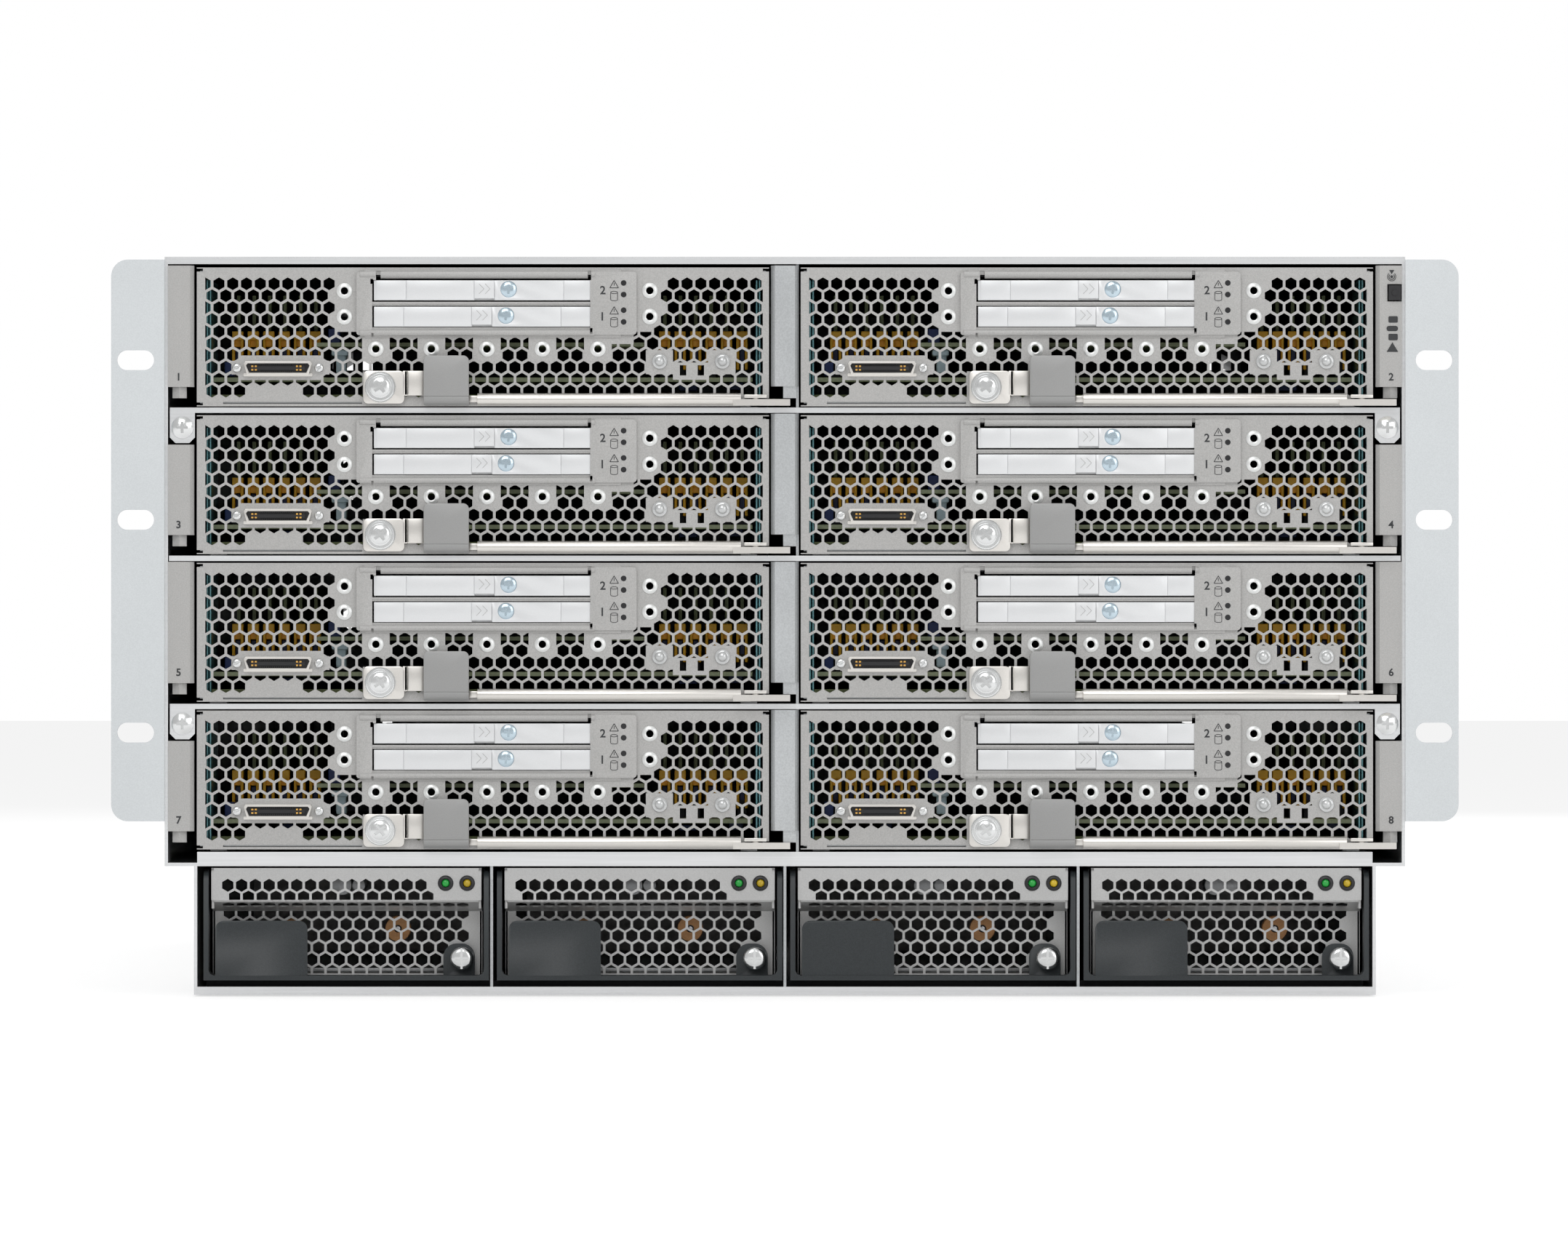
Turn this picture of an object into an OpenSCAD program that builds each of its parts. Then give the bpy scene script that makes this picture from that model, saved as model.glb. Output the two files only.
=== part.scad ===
// Blade server chassis, six rack units, eight half-width blades over four power supplies.
// +X to the right, +Y to the rear, +Z up; the origin is at the middle of the underside.

/* [Overall] */
// Depth of the chassis from its front lips to its rear panel
depth = 800; // [740:1:980]
// Width of one blade
blade_w = 205; // [203:0.5:250]
// Height of one blade
blade_h = 48.5; // [48:0.5:60]
// Depth of one blade
blade_d = 600; // [500:1:620]
// Thickness of the chassis sheet metal
sheet = 1.2; // [0.8:0.1:1.6]

/* [Bays] */
// Width of each side margin between a blade and the outside of the chassis
side_margin = 11.25; // [11:0.25:14]
// Width of the gap between the left and the right blades
centre_gap = 12; // [12:0.5:16]
// Gap between the top of a blade and the lip above it
head_gap = 1.65; // [1:0.05:3]
// Height of a shelf's front lip
lip_h = 1.9; // [1.6:0.1:3]
// Gap between a shelf and the blade that stands on it
foot_gap = 1; // [0.8:0.1:2]
// Width of the lower bay that holds the power supplies, less than the body
bay_step = 10.5; // [8:0.5:12]
// Height of the lip of the shelf over the power supplies
psu_lip_h = 5.1; // [4:0.1:8]
// Running gap between pieces that slide past each other
clearance = 0.4; // [0.35:0.05:0.6]

/* [Rack ears] */
// Distance between the rack's hole lines
hole_line = 465.1; // [465.1, 508]
// Overall width over the ears, beyond each hole line
ear_edge = 8.75; // [8:0.25:12]
// Height of a rack ear
ear_h = 201.1; // [196:0.1:204]
// Length of an ear slot
slot_l = 13.2; // [10:0.1:15]
// Width of an ear slot
slot_w = 7.1; // [6.5:0.1:8]
// Height of the lowest slot above the underside
slot_low = 93.95; // [90:0.05:96]
// Depth of the flange that an ear turns back along the side
ear_flange = 60; // [30:1:120]

/* [Blade front] */
// Pitch of the hexagon perforation, coarser than the finished grille to keep the solids light
hex_pitch = 6.6; // [4.5:0.05:8]
// Width of the web between two hexagons
hex_web = 1.1; // [0.8:0.05:1.5]
// Thickness of the perforated faceplate
plate_t = 1; // [0.8:0.1:1.5]
// Depth of the faceplate's folded edge
fold_d = 8; // [5:0.5:15]
// Width of the drive bay frame
bay_frame_w = 100.8; // [100:0.1:106]
// Height of the drive bay frame
bay_frame_h = 23; // [22:0.1:26]
// Width of a drive sled's face
sled_w = 78.4; // [74:0.1:79]
// Height of a drive sled's face
sled_h = 7.3; // [6.5:0.1:7.8]
// Pitch of the two drive sleds
sled_pitch = 9.6; // [9:0.1:10.5]
// Depth of a drive with its sled
sled_d = 110; // [90:1:130]
// Length of the half-round bar of the ejector lever
bar_l = 96; // [90:0.5:110]
// Diameter of the thumbscrew's knurled head
thumb_d = 11.3; // [9:0.1:11.5]
// Diameter of the lever's pivot pin
pivot_d = 2.4; // [2:0.1:3]

/* [Power supplies] */
// Pitch of the power supplies
psu_pitch = 105.1; // [104.9:0.1:106]
// Width over a power supply's handle
psu_w = 102.2; // [98:0.1:102.6]
// Height of a power supply
psu_h = 39.5; // [38:0.5:46]
// Depth of a power supply
psu_d = 320; // [240:1:420]
// How far the lower grille lies behind the upper one
psu_recess = 12; // [9:0.5:16]
// Thickness of the handle's arms
arm_t = 1.8; // [1.2:0.1:2.4]
// Pitch of the power supply's grille holes
psu_hex_pitch = 6.6; // [4.6:0.05:8]

/* [Rear] */
// Width of one fan module
fan_w = 77; // [70:0.5:88]
// Diameter of a fan's opening
fan_d = 68; // [50:1:69]
// Width of one I/O module
io_w = 48; // [36:0.5:52]
// Depth of a rear module
module_d = 130; // [80:1:130]

/* [Hidden] */

fine = 48;                                     // sides of round holes and pins
join = 0.01;                                   // overlap of fused shapes
seat = 0.1;                                    // gap between separate pieces that stand on each other
front_reach = 5.7;                             // how far the levers stand in front of the lips
rear_reach = 4;                                // how far the module handles stand behind the rear panel
front_y = -(depth + rear_reach - front_reach) / 2;   // front plane of the chassis in the part's frame
body_w = 2 * blade_w + centre_gap + 2 * side_margin;
bay_w = body_w - 2 * bay_step;
row_pitch = blade_h + head_gap + lip_h + foot_gap;

// Heights
floor_lip_h = 2.9;                             // height of the front lip of the floor
psu_z = floor_lip_h + 2.3;                     // underside of a power supply
psu_shelf_z = psu_z + psu_h + 1.4;             // underside of the shelf above the power supplies
blade_z0 = psu_shelf_z + psu_lip_h + foot_gap; // underside of the lowest blades
function blade_z(row) = blade_z0 + row * row_pitch;
function shelf_z(row) = blade_z(row) - foot_gap - lip_h;
body_h = blade_z(3) + blade_h + head_gap + 2.85;

// Ejector lever, in the blade's own frame
pivot_x = blade_w - 4.5;
pivot_y = -3;
hook_t = 2.4;                                  // thickness of the hook
hook_z = -0.6;                                 // underside of the hook
hook_reach = 12.4;                             // reach of the hook beyond its pivot
hook_w = 4.2;
hook_notch = hook_z + hook_t + clearance;      // height of the notch that the hook swings through
bar_r = 2.25;
bar_x = pivot_x - 6.5 - bar_l;                 // left end of the bar
tab_w = 16.2;
tab_h = 17.6;
tab_x = bar_x - tab_w + 0.5;
strip_w = 6;
thumb_plate_w = 14.7;
thumb_plate_x = tab_x - strip_w - thumb_plate_w;
thumb_plate_h = 11.8;
thumb_x = thumb_plate_x + 6.1;
thumb_z = 6.4;
lever_t = 1.4;
lever_y = -clearance - lever_t;                // front of the lever's flat strip

// Drive bay, in the blade's own frame
bay_x = 57;
bay_z = blade_h - bay_frame_h - 0.6;
sled_x = bay_x + 6.4;
function sled_z(n) = bay_z + 3.1 + (n - 1) * sled_pitch;
bay_depth = sled_d + 6;
drive_body_w = 69.9;

// Bodies of a power supply, in its own frame
psu_face_x = arm_t + 0.95;
psu_face_w = psu_w - 2 * psu_face_x;
brow_h = 14.8;                                 // height of the upper, forward part of its face
brow_z = psu_h - brow_h;
handle_pivot_y = 5.5;
handle_pivot_z = psu_h - 4.6;
pin_d = 3;
psu_screw_in = 11.8;                           // from the handle's right side to its captive screw
psu_screw_z = 8;

// Rear panel
rear_y = depth - sheet;
module_h = (body_h - blade_z0 - 10) / 2;
function fan_x(i) = (i < 2 ? -1 : 1) * (io_w + 3 + fan_w / 2 + (i % 2) * (fan_w + 1.6));
function rear_z(i) = blade_z0 + 2 + i * (module_h + 2);
inlet_w = 33;
inlet_h = 26;
midplane_y = blade_d + 16;

zinc = "silver";
steel = "lightgray";
paint = "lightsteelblue";
dark = "darkslategray";

// A flat drawing stood up to face the front: its X stays, its Y becomes Z, and it runs from y to y + t.
module upright(y, t) translate([0, y + t, 0]) rotate([90, 0, 0]) linear_extrude(t) children();

// A drawing of depth and height, run along X from x to x + w.
module along_x(x, w) translate([x, 0, 0]) rotate([90, 0, 90]) linear_extrude(w) children();

// A bar from one corner to the other
module block(low, high) translate(low) cube(high - low);

// A round pin along Y
module pin_y(x, y, z, d, l) translate([x, y + l, z]) rotate([90, 0, 0]) cylinder(d = d, h = l, $fn = fine);

module place() translate([0, front_y, 0]) children();

function blade_origin(n) = [n % 2 == 1 ? -centre_gap / 2 - blade_w : centre_gap / 2, 0, blade_z(3 - floor((n - 1) / 2))];
function psu_origin(n) = [(n - 2.5) * psu_pitch - psu_w / 2, 0, psu_z];

module at_blade(n) place() translate(blade_origin(n)) children();
module at_psu(n) place() translate(psu_origin(n)) children();

// ---- hexagon grilles

function in_box(p, b) = p.x > b[0] && p.x < b[2] && p.y > b[1] && p.y < b[3];
function clear_of(p, lands, pad) =
  len([for (l = lands) if (in_box(p, [l[0] - pad, l[1] - pad, l[2] + pad, l[3] + pad])) 1]) == 0;

// Pointy hexagons in staggered rows that fill a field, except where a land lies
module hexagons(low, high, pitch, lands = []) {
  flat = pitch - hex_web;
  corner = flat / sqrt(3);
  step = pitch * sqrt(3) / 2;
  rows = floor((high.y - low.y - 2 * corner) / step);
  columns = floor((high.x - low.x - flat) / pitch);
  for (r = [0:rows], i = [0:columns]) {
    p = [low.x + flat / 2 + pitch * (i + (r % 2) / 2), high.y - corner - step * r];
    if (clear_of(p, lands, flat / 2 + hex_web * 0.4) && p.x <= high.x - flat / 2)
      translate(p) rotate(30) circle(r = corner, $fn = 6);
  }
}

// ---- chassis

module body_outline(inset) {
  translate([-body_w / 2 + inset, psu_shelf_z + inset]) square([body_w - 2 * inset, body_h - psu_shelf_z]);
  translate([-bay_w / 2 + inset, inset]) square([bay_w - 2 * inset, psu_shelf_z + inset]);
}

module rear_openings() {
  for (i = [0:3], row = [0:1])
    translate([fan_x(i) - fan_w / 2, rear_z(row)]) square([fan_w, module_h]);
  for (side = [-1, 1])
    translate([side * (io_w / 2 + 0.8) - io_w / 2, rear_z(0)]) square([io_w, 2 * module_h + 2]);
  for (n = [1:4])
    translate([(n - 2.5) * psu_pitch - inlet_w / 2, psu_z + 4]) square([inlet_w, inlet_h]);
}

module chassis_shell() color(zinc) place() {
  difference() {
    upright(0, depth) intersection() {
      body_outline(0);
      translate([-body_w / 2, 0]) square([body_w, body_h - sheet]);
    }
    upright(-1, depth - sheet + 1) body_outline(sheet);
    upright(rear_y - 1, sheet + 2) rear_openings();
    // cable and light slots in the side walls beside the blades
    for (row = [0:3], side = [-1, 1])
      block([side * body_w / 2 - 3, 26, blade_z(row) + 16], [side * body_w / 2 + 3, 32, blade_z(row) + 34]);
  }
  // hemmed front lip of the floor
  block([-bay_w / 2 + sheet, 0, sheet], [bay_w / 2 - sheet, sheet, floor_lip_h]);
  // runners that carry the power supplies
  for (n = [1:4], side = [0, 1])
    block([psu_origin(n).x + 8 + side * (psu_w - 24), 16, sheet],
          [psu_origin(n).x + 16 + side * (psu_w - 24), 16 + psu_d, psu_z - 0.3]);
}

module top_cover() color(zinc) place() {
  block([-body_w / 2, 0, body_h - sheet], [body_w / 2, depth, body_h]);
  // front lip turned down, with a rolled edge
  block([-body_w / 2 + sheet, 0, body_h - 2.6], [body_w / 2 - sheet, sheet, body_h - sheet]);
  // stiffening ribs pressed downwards
  for (x = [-body_w / 4, body_w / 4])
    block([x - 4, depth * 0.2, body_h - sheet - 0.8], [x + 4, depth * 0.8, body_h - sheet]);
}

module ear_face() {
  ear_z = slot_low - 31.75;
  inner = body_w / 2;
  outer = hole_line / 2 + ear_edge;
  difference() {
    union() {
      translate([inner, ear_z + 6]) square([outer - inner, ear_h - 12]);
      translate([inner, ear_z]) square([outer - inner - 6, ear_h]);
      for (z = [ear_z + 6, ear_z + ear_h - 6]) translate([outer - 6, z]) circle(r = 6, $fn = fine);
    }
    for (rise = [0, 76.2, 133.35]) translate([hole_line / 2, slot_low + rise]) {
      for (s = [-1, 1]) translate([s * (slot_l - slot_w) / 2, 0]) circle(d = slot_w, $fn = fine);
      square([slot_l - slot_w, slot_w], center = true);
    }
  }
}

module rack_ear() {
  ear_t = 2;
  ear_z = slot_low - 31.75;
  difference() {
    union() {
      upright(-ear_t, ear_t) ear_face();
      block([body_w / 2, -join, ear_z], [body_w / 2 + ear_t, ear_flange, ear_z + ear_h]);
    }
    // countersunk seats of the side screws
    for (z = [0.15, 0.5, 0.85], y = [0.3, 0.75])
      translate([body_w / 2 - 1, ear_flange * y, ear_z + ear_h * z]) rotate([0, 90, 0]) cylinder(d = 4.2, h = 5, $fn = fine);
  }
}

module rack_ears() color(paint) place() for (s = [0, 1]) mirror([s, 0, 0]) rack_ear();

module shelf(row, half_w) {
  z = shelf_z(row);
  block([-half_w, 0, z + lip_h - sheet], [half_w, blade_d + 6, z + lip_h]);
  block([-half_w, 0, z], [half_w, sheet, z + lip_h - sheet + join]);
  shelf_rails(z + lip_h);
}

// Low runners under both edges of each blade
module shelf_rails(z) for (left = [-centre_gap / 2 - blade_w, centre_gap / 2], x = [4, blade_w - 10])
  block([left + x, 24, z - join], [left + x + 6, blade_d, z + foot_gap - 0.3]);

// Bent-down ends of a shelf, each held by one screw
tab_drop = 10.8;
tab_in = body_w / 2 - side_margin + clearance;
tab_out = body_w / 2 - sheet - 0.7;
function tab_screw(row, side) = [side * (tab_in + tab_out) / 2, 0, shelf_z(row) - 5.2];
module shelf_tab(row) {
  z = shelf_z(row);
  difference() {
    upright(0, sheet) polygon([
      [tab_in - clearance - 1, z + lip_h], [tab_out, z + lip_h], [tab_out, z - tab_drop + 2],
      [tab_out - 2, z - tab_drop], [tab_in + 2, z - tab_drop], [tab_in, z - tab_drop + 2],
      [tab_in, z], [tab_in - clearance - 1, z]]);
    pin_y(tab_screw(row, 1).x, -1, tab_screw(row, 1).z, 4.4, 5);
  }
}

module shelves() color(zinc) place() {
  for (row = [1, 3]) {
    shelf(row, tab_in - clearance - 0.5);
    for (s = [0, 1]) mirror([s, 0, 0]) shelf_tab(row);
  }
  shelf(2, body_w / 2 - sheet - 0.4);
  // shelf over the power supplies, with its tall rolled lip
  half_w = bay_w / 2 - sheet;
  block([-half_w, 0, psu_shelf_z + psu_lip_h - sheet], [half_w, blade_d + 6, psu_shelf_z + psu_lip_h]);
  block([-half_w, 0, psu_shelf_z], [half_w, sheet, psu_shelf_z + psu_lip_h]);
  shelf_rails(psu_shelf_z + psu_lip_h);
}

function row_low(row) = row == 0 ? psu_shelf_z + psu_lip_h : shelf_z(row) + lip_h;
function row_high(row) = row == 3 ? body_h - 2.6 : shelf_z(row + 1);

module dividers() color(zinc) place() {
  for (row = [0:3]) {
    z = blade_z(row);
    // wall between the blades
    block([centre_gap / 2 - 2, 3, row_low(row)], [centre_gap / 2 - 1, blade_d, row_high(row) - (row == 3 ? -1.4 : 0)]);
    // bevelled cover
    difference() {
      along_height(z + 6.6, z + blade_h + head_gap - 0.3) polygon([
        [-5, 3], [-5, 0.8], [-3.6, -0.6], [3.6, -0.6], [5, 0.8], [5, 3], [4, 3], [4, 1.3], [3.1, 0.4],
        [-3.1, 0.4], [-4, 1.3], [-4, 3]]);
    }
    // post under the cover
    block([-0.6, 0.6, z + hook_notch + 0.2], [centre_gap / 2 - 2 + join, 4, z + 6.6 + join]);
  }
  // partitions between the power supplies
  for (i = [-1:1])
    block([i * psu_pitch - 0.5, sheet, sheet], [i * psu_pitch + 0.5, psu_d + 30, psu_shelf_z]);
}

// A plan drawing raised from one height to another
module along_height(low, high) translate([0, 0, low]) linear_extrude(high - low) children();

module slot_plate(row) {
  z = blade_z(row);
  high = row % 2 == 0 ? z + blade_h + head_gap - tab_drop - 0.6 : z + blade_h + head_gap - 0.3;
  inner = body_w / 2 - side_margin + clearance + 0.3;
  wall = body_w / 2 - sheet;
  difference() {
    along_height(z + 6.4, high) polygon([
      [inner, 3.4], [inner, 0.8], [inner + 1.4, -0.6], [wall, -0.6], [wall, 24], [wall - 1, 24],
      [wall - 1, 0.4], [inner + 1.8, 0.4], [inner + 1, 1.2], [inner + 1, 3.4]]);
    // notch beside the slot in the side wall
    block([wall - 2, 14, z + 20], [wall + 1, 20, z + 30]);
  }
  // six-sided post that stands on the shelf
  translate([(inner + wall) / 2 + 0.6, 3.2, z + hook_notch + 0.2])
    rotate(30) cylinder(d = 5.8, h = 6.4 - hook_notch - 0.2 + join, $fn = 6);
}

// Seat of the locator button, on the right-hand plate of the top row
button_w = 4.4;
button_h = 5.4;
function button_at() = [body_w / 2 - sheet - button_w / 2 - clearance, -1.6, blade_z(3) + 40.1];

module slot_plates() color(steel) place() difference() {
  for (row = [0:3], s = [0, 1]) mirror([s, 0, 0]) slot_plate(row);
  translate([button_at().x - button_w / 2 - clearance, -2, button_at().z - button_h / 2 - clearance])
    cube([button_w + 2 * clearance, 8, button_h + 2 * clearance]);
}

module locator_button() color("dimgray") place() translate(button_at()) {
  translate([-button_w / 2, 0, -button_h / 2]) cube([button_w, 4.4, button_h]);
  pin_y(0, -0.5, 0, 2, 0.5 + join);
}

// Pan-head screw with a cross recess, facing the front
module pan_screw(d, shank_d, l) rotate([90, 0, 0]) difference() {
  rotate_extrude($fn = fine) {
    intersection() {
      translate([0, -d * 0.55]) circle(r = d * 0.78, $fn = 64);
      square([d / 2, d]);
    }
    translate([0, -l]) square([shank_d / 2, l + join]);
  }
  for (a = [0, 90]) rotate(a) translate([-d * 0.26, -0.5, d * 0.05]) cube([d * 0.52, 1, d]);
}

module chassis_screws() color(zinc) place() {
  for (row = [1, 3], side = [-1, 1]) translate(tab_screw(row, side)) pan_screw(7.8, 3.6, 6);
  ear_z = slot_low - 31.75;
  for (side = [-1, 1], z = [0.15, 0.5, 0.85], y = [0.3, 0.75])
    translate([side * (body_w / 2 + 2), ear_flange * y, ear_z + ear_h * z])
      rotate([0, side * 90, 0]) union() {
        cylinder(d = 7, h = 1.3, $fn = fine);
        translate([0, 0, -2]) cylinder(d = 3.6, h = 2 + join, $fn = fine);
      }
}

module midplane() color("darkgreen") place() {
  half = body_w / 2 - sheet - 2;
  difference() {
    block([-half, midplane_y, blade_z0], [half, midplane_y + 3, body_h - 4]);
    // air slots between the connectors
    for (row = [0:3], side = [-1, 1], k = [0:2])
      block([side * (22 + k * 62) + (side > 0 ? 0 : -40), midplane_y - 1, blade_z(row) + 24],
            [side * (22 + k * 62) + (side > 0 ? 40 : 0), midplane_y + 4, blade_z(row) + 42]);
  }
  // blade connectors
  for (n = [1:8])
    translate([blade_origin(n).x + blade_w / 2 - 40, midplane_y - 12, blade_origin(n).z + 6]) cube([80, 12 + join, 12]);
  // brackets to the side walls
  for (side = [-1, 1], row = [0:3])
    block([side > 0 ? half - 8 : -half - 2, midplane_y + 3 - join, blade_z(row) + 6],
          [side > 0 ? half + 2 : -half + 8, midplane_y + 5, blade_z(row) + 18]);
}

module fan_module() {
  r = fan_d / 2;
  difference() {
    block([-fan_w / 2 + 0.4, rear_y - module_d, 0.4], [fan_w / 2 - 0.4, rear_y + sheet + 1, module_h - 0.4]);
    translate([0, 0, module_h / 2 + 6]) pin_y(0, rear_y - module_d - 1, 0, fan_d, module_d + 5);
  }
  translate([0, rear_y, module_h / 2 + 6]) {
    // guard with two rings and a cross
    for (d = [fan_d * 0.5, fan_d * 0.78]) difference() {
      pin_y(0, 0, 0, d, 1.5);
      pin_y(0, -1, 0, d - 3, 4);
    }
    for (a = [45, 135]) rotate([0, a, 0]) block([-r - join, 0, -1.5], [r + join, 1.5, 1.5]);
    // motor hub and rotor blades
    pin_y(0, -28, 0, fan_d * 0.36, 28 + join);
    for (k = [0:4]) rotate([0, k * 72, 0]) translate([fan_d * 0.17, -22, -1]) rotate([28, 0, 0])
      cube([r - fan_d * 0.17 - 1.5, 1.6, 14]);
  }
  // pull handle under the fan
  block([-16, rear_y + sheet + 1 - join, 6], [16, rear_y + sheet + 3, 11]);
}

module fan_modules() color(zinc) place() for (i = [0:3], row = [0:1])
  translate([fan_x(i), 0, rear_z(row)]) fan_module();

module io_module() {
  h = 2 * module_h + 2;
  difference() {
    block([-io_w / 2 + 0.4, rear_y - module_d, 0.4], [io_w / 2 - 0.4, rear_y + sheet + 1, h - 0.4]);
    // four port cages
    for (k = [0:3])
      block([-8, rear_y - 50, 34 + k * 22], [8, rear_y + sheet + 2, 34 + k * 22 + 14]);
    // vent slots
    for (k = [0:7])
      block([-16, rear_y - 20, 132 + k * 8], [16, rear_y + sheet + 2, 132 + k * 8 + 4]);
  }
  for (z = [10, h - 22]) block([-18, rear_y + sheet + 1 - join, z], [18, depth + rear_reach, z + 12]);
}

module io_modules() color(steel) place() for (side = [-1, 1])
  translate([side * (io_w / 2 + 0.8), 0, rear_z(0)]) io_module();

module inlet() {
  difference() {
    block([-inlet_w / 2 + 0.3, rear_y - 30, 0.3], [inlet_w / 2 - 0.3, rear_y + sheet + 2, inlet_h - 0.3]);
    block([-inlet_w / 2 + 4, rear_y - 18, 4], [inlet_w / 2 - 4, rear_y + sheet + 3, inlet_h - 4]);
  }
  for (p = [[-7, 11], [0, 17], [7, 11]])
    block([p.x - 1, rear_y - 18 - join, p.y - 3], [p.x + 1, rear_y - 2, p.y + 3]);
}

module power_inlets() color("dimgray") place() for (n = [1:4])
  translate([(n - 2.5) * psu_pitch, 0, psu_z + 4]) inlet();

// ---- one blade, in its own frame: X from its left side, Z from its underside, Y back from its faceplate

right_x = blade_w - 205;                       // shift of what is tied to the blade's right side

// Places on the faceplate
ring_d = 5.7;
function ring_places() = concat(
  [for (z = [40.9, 31.6]) [52.5, z]], [for (z = [41, 31.7]) [bay_x + bay_frame_w + 4.3, z]],
  [for (i = [0:4]) [63.7 + 19.9 * i, 20.1]]);
function lamp_places() = [[165.7 + right_x, 15.7], [188.2 + right_x, 15.7]];
connector_x = 16.4;
connector_z = 10.8;
connector_w = 24.4;
connector_h = 4.9;

function plate_lands() = concat(
  [[bay_x, bay_z, bay_x + bay_frame_w, blade_h],
   [connector_x - 4.5, connector_z, connector_x + connector_w + 4.9, connector_z + connector_h],
   [connector_x, 0, connector_x + connector_w - 2, 6.4],
   [thumb_plate_x, 0, thumb_plate_x + thumb_plate_w, thumb_plate_h],
   [tab_x + 3, 0, tab_x + tab_w - 3, tab_h - 8],
   [171 + right_x, 11.6, 183 + right_x, 15.6]],
  [for (p = ring_places()) [p.x - 2.6, p.y - 2.6, p.x + 2.6, p.y + 2.6]],
  [for (p = lamp_places()) [p.x - 2.6, p.y - 2.6, p.x + 2.6, p.y + 2.6]],
  [[pivot_x - 2, 0, blade_w, 5]]);

module faceplate_drawing() difference() {
  square([blade_w, blade_h]);
  hexagons([2.4, 2.4], [blade_w - 2.4, blade_h - 2.4], hex_pitch, plate_lands());
  translate([bay_x + 1.5, bay_z + 1.5]) square([bay_frame_w - 3, bay_frame_h - 3]);
  translate([connector_x + 1, connector_z + 0.6]) square([connector_w - 2, connector_h - 1.2]);
  for (p = ring_places()) translate(p) circle(d = 2.7, $fn = 12);
  translate([thumb_x, thumb_z]) circle(d = 5.4, $fn = 12);
  // notch that the lever's hook swings through
  translate([pivot_x - 3, -1]) square([blade_w, hook_notch + 1]);
}

module drive_bay_frame() difference() {
  union() {
    upright(-0.8, 1.2) difference() {
      translate([bay_x, bay_z]) square([bay_frame_w, bay_frame_h]);
      for (n = [1, 2]) translate([sled_x - clearance, sled_z(n) - clearance])
        square([sled_w + 2 * clearance, sled_h + 2 * clearance]);
    }
    // cage behind the frame
    difference() {
      block([bay_x + 1.6, 0, bay_z + 1.6], [bay_x + bay_frame_w - 1.6, bay_depth, bay_z + bay_frame_h - 1.6]);
      block([bay_x + 2.6, -1, bay_z + 2.6 - 0.4], [bay_x + bay_frame_w - 2.6, bay_depth + 1, bay_z + bay_frame_h - 2.2]);
    }
    // rolled lips above and below the bay
    for (z = [bay_z, bay_z + bay_frame_h - 1]) block([bay_x, -1.6, z], [sled_x + sled_w + 2, 0.2, z + 1]);
  }
}

module console_connector() {
  slope = 1.2;
  upright(-3, 3.4) difference() {
    polygon([[connector_x + slope, connector_z], [connector_x + connector_w - slope, connector_z],
             [connector_x + connector_w, connector_z + connector_h], [connector_x, connector_z + connector_h]]);
    translate([connector_x + slope + 0.8, connector_z + 0.8])
      square([connector_w - 2 * slope - 1.6, connector_h - 1.6]);
  }
  // insert with its tongue, seated behind the plate
  upright(-2, 4) translate([connector_x + slope + 2, connector_z + 1.8])
    square([connector_w - 2 * slope - 4, connector_h - 3.6]);
  upright(plate_t + seat, 7) translate([connector_x, connector_z - 1]) square([connector_w, connector_h + 2]);
  for (x = [connector_x - 2.7, connector_x + connector_w + 2.7])
    pin_y(x, -2.6, connector_z + connector_h / 2, 3.2, 2.6 + join);
}

module pivot_bracket() {
  // tongue over the lever's hook, with the pin that the lever turns on
  z = hook_z + hook_t + clearance;
  block([pivot_x - 4, pivot_y - 2.4, z], [pivot_x + 4, 0.2, z + 1.2]);
  translate([pivot_x, pivot_y, hook_z]) cylinder(d = pivot_d, h = hook_t + clearance + 0.2, $fn = fine);
}

module blade_faceplate() color(steel) {
  upright(0, plate_t) faceplate_drawing();
  // folded edges
  difference() {
    block([0, plate_t - join, 0], [blade_w, fold_d, blade_h]);
    block([plate_t, 0, plate_t], [blade_w - plate_t, fold_d + 1, blade_h - plate_t]);
    block([pivot_x - 3, -1, -1], [blade_w + 1, fold_d + 9, hook_notch]);
  }
  drive_bay_frame();
  console_connector();
  pivot_bracket();
  for (p = ring_places()) difference() {
    pin_y(p.x, -0.6, p.y, ring_d, 0.6 + join);
    pin_y(p.x, -1, p.y, 2.7, 3);
  }
  for (p = lamp_places()) translate([p.x, 0, p.y]) rotate([90, 0, 0]) rotate_extrude($fn = fine)
    polygon([[0, -0.5], [2.7, -0.5], [2.7, 1.2], [2.2, 1.9], [1.2, 2.3], [0, 2.4]]);
}

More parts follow.
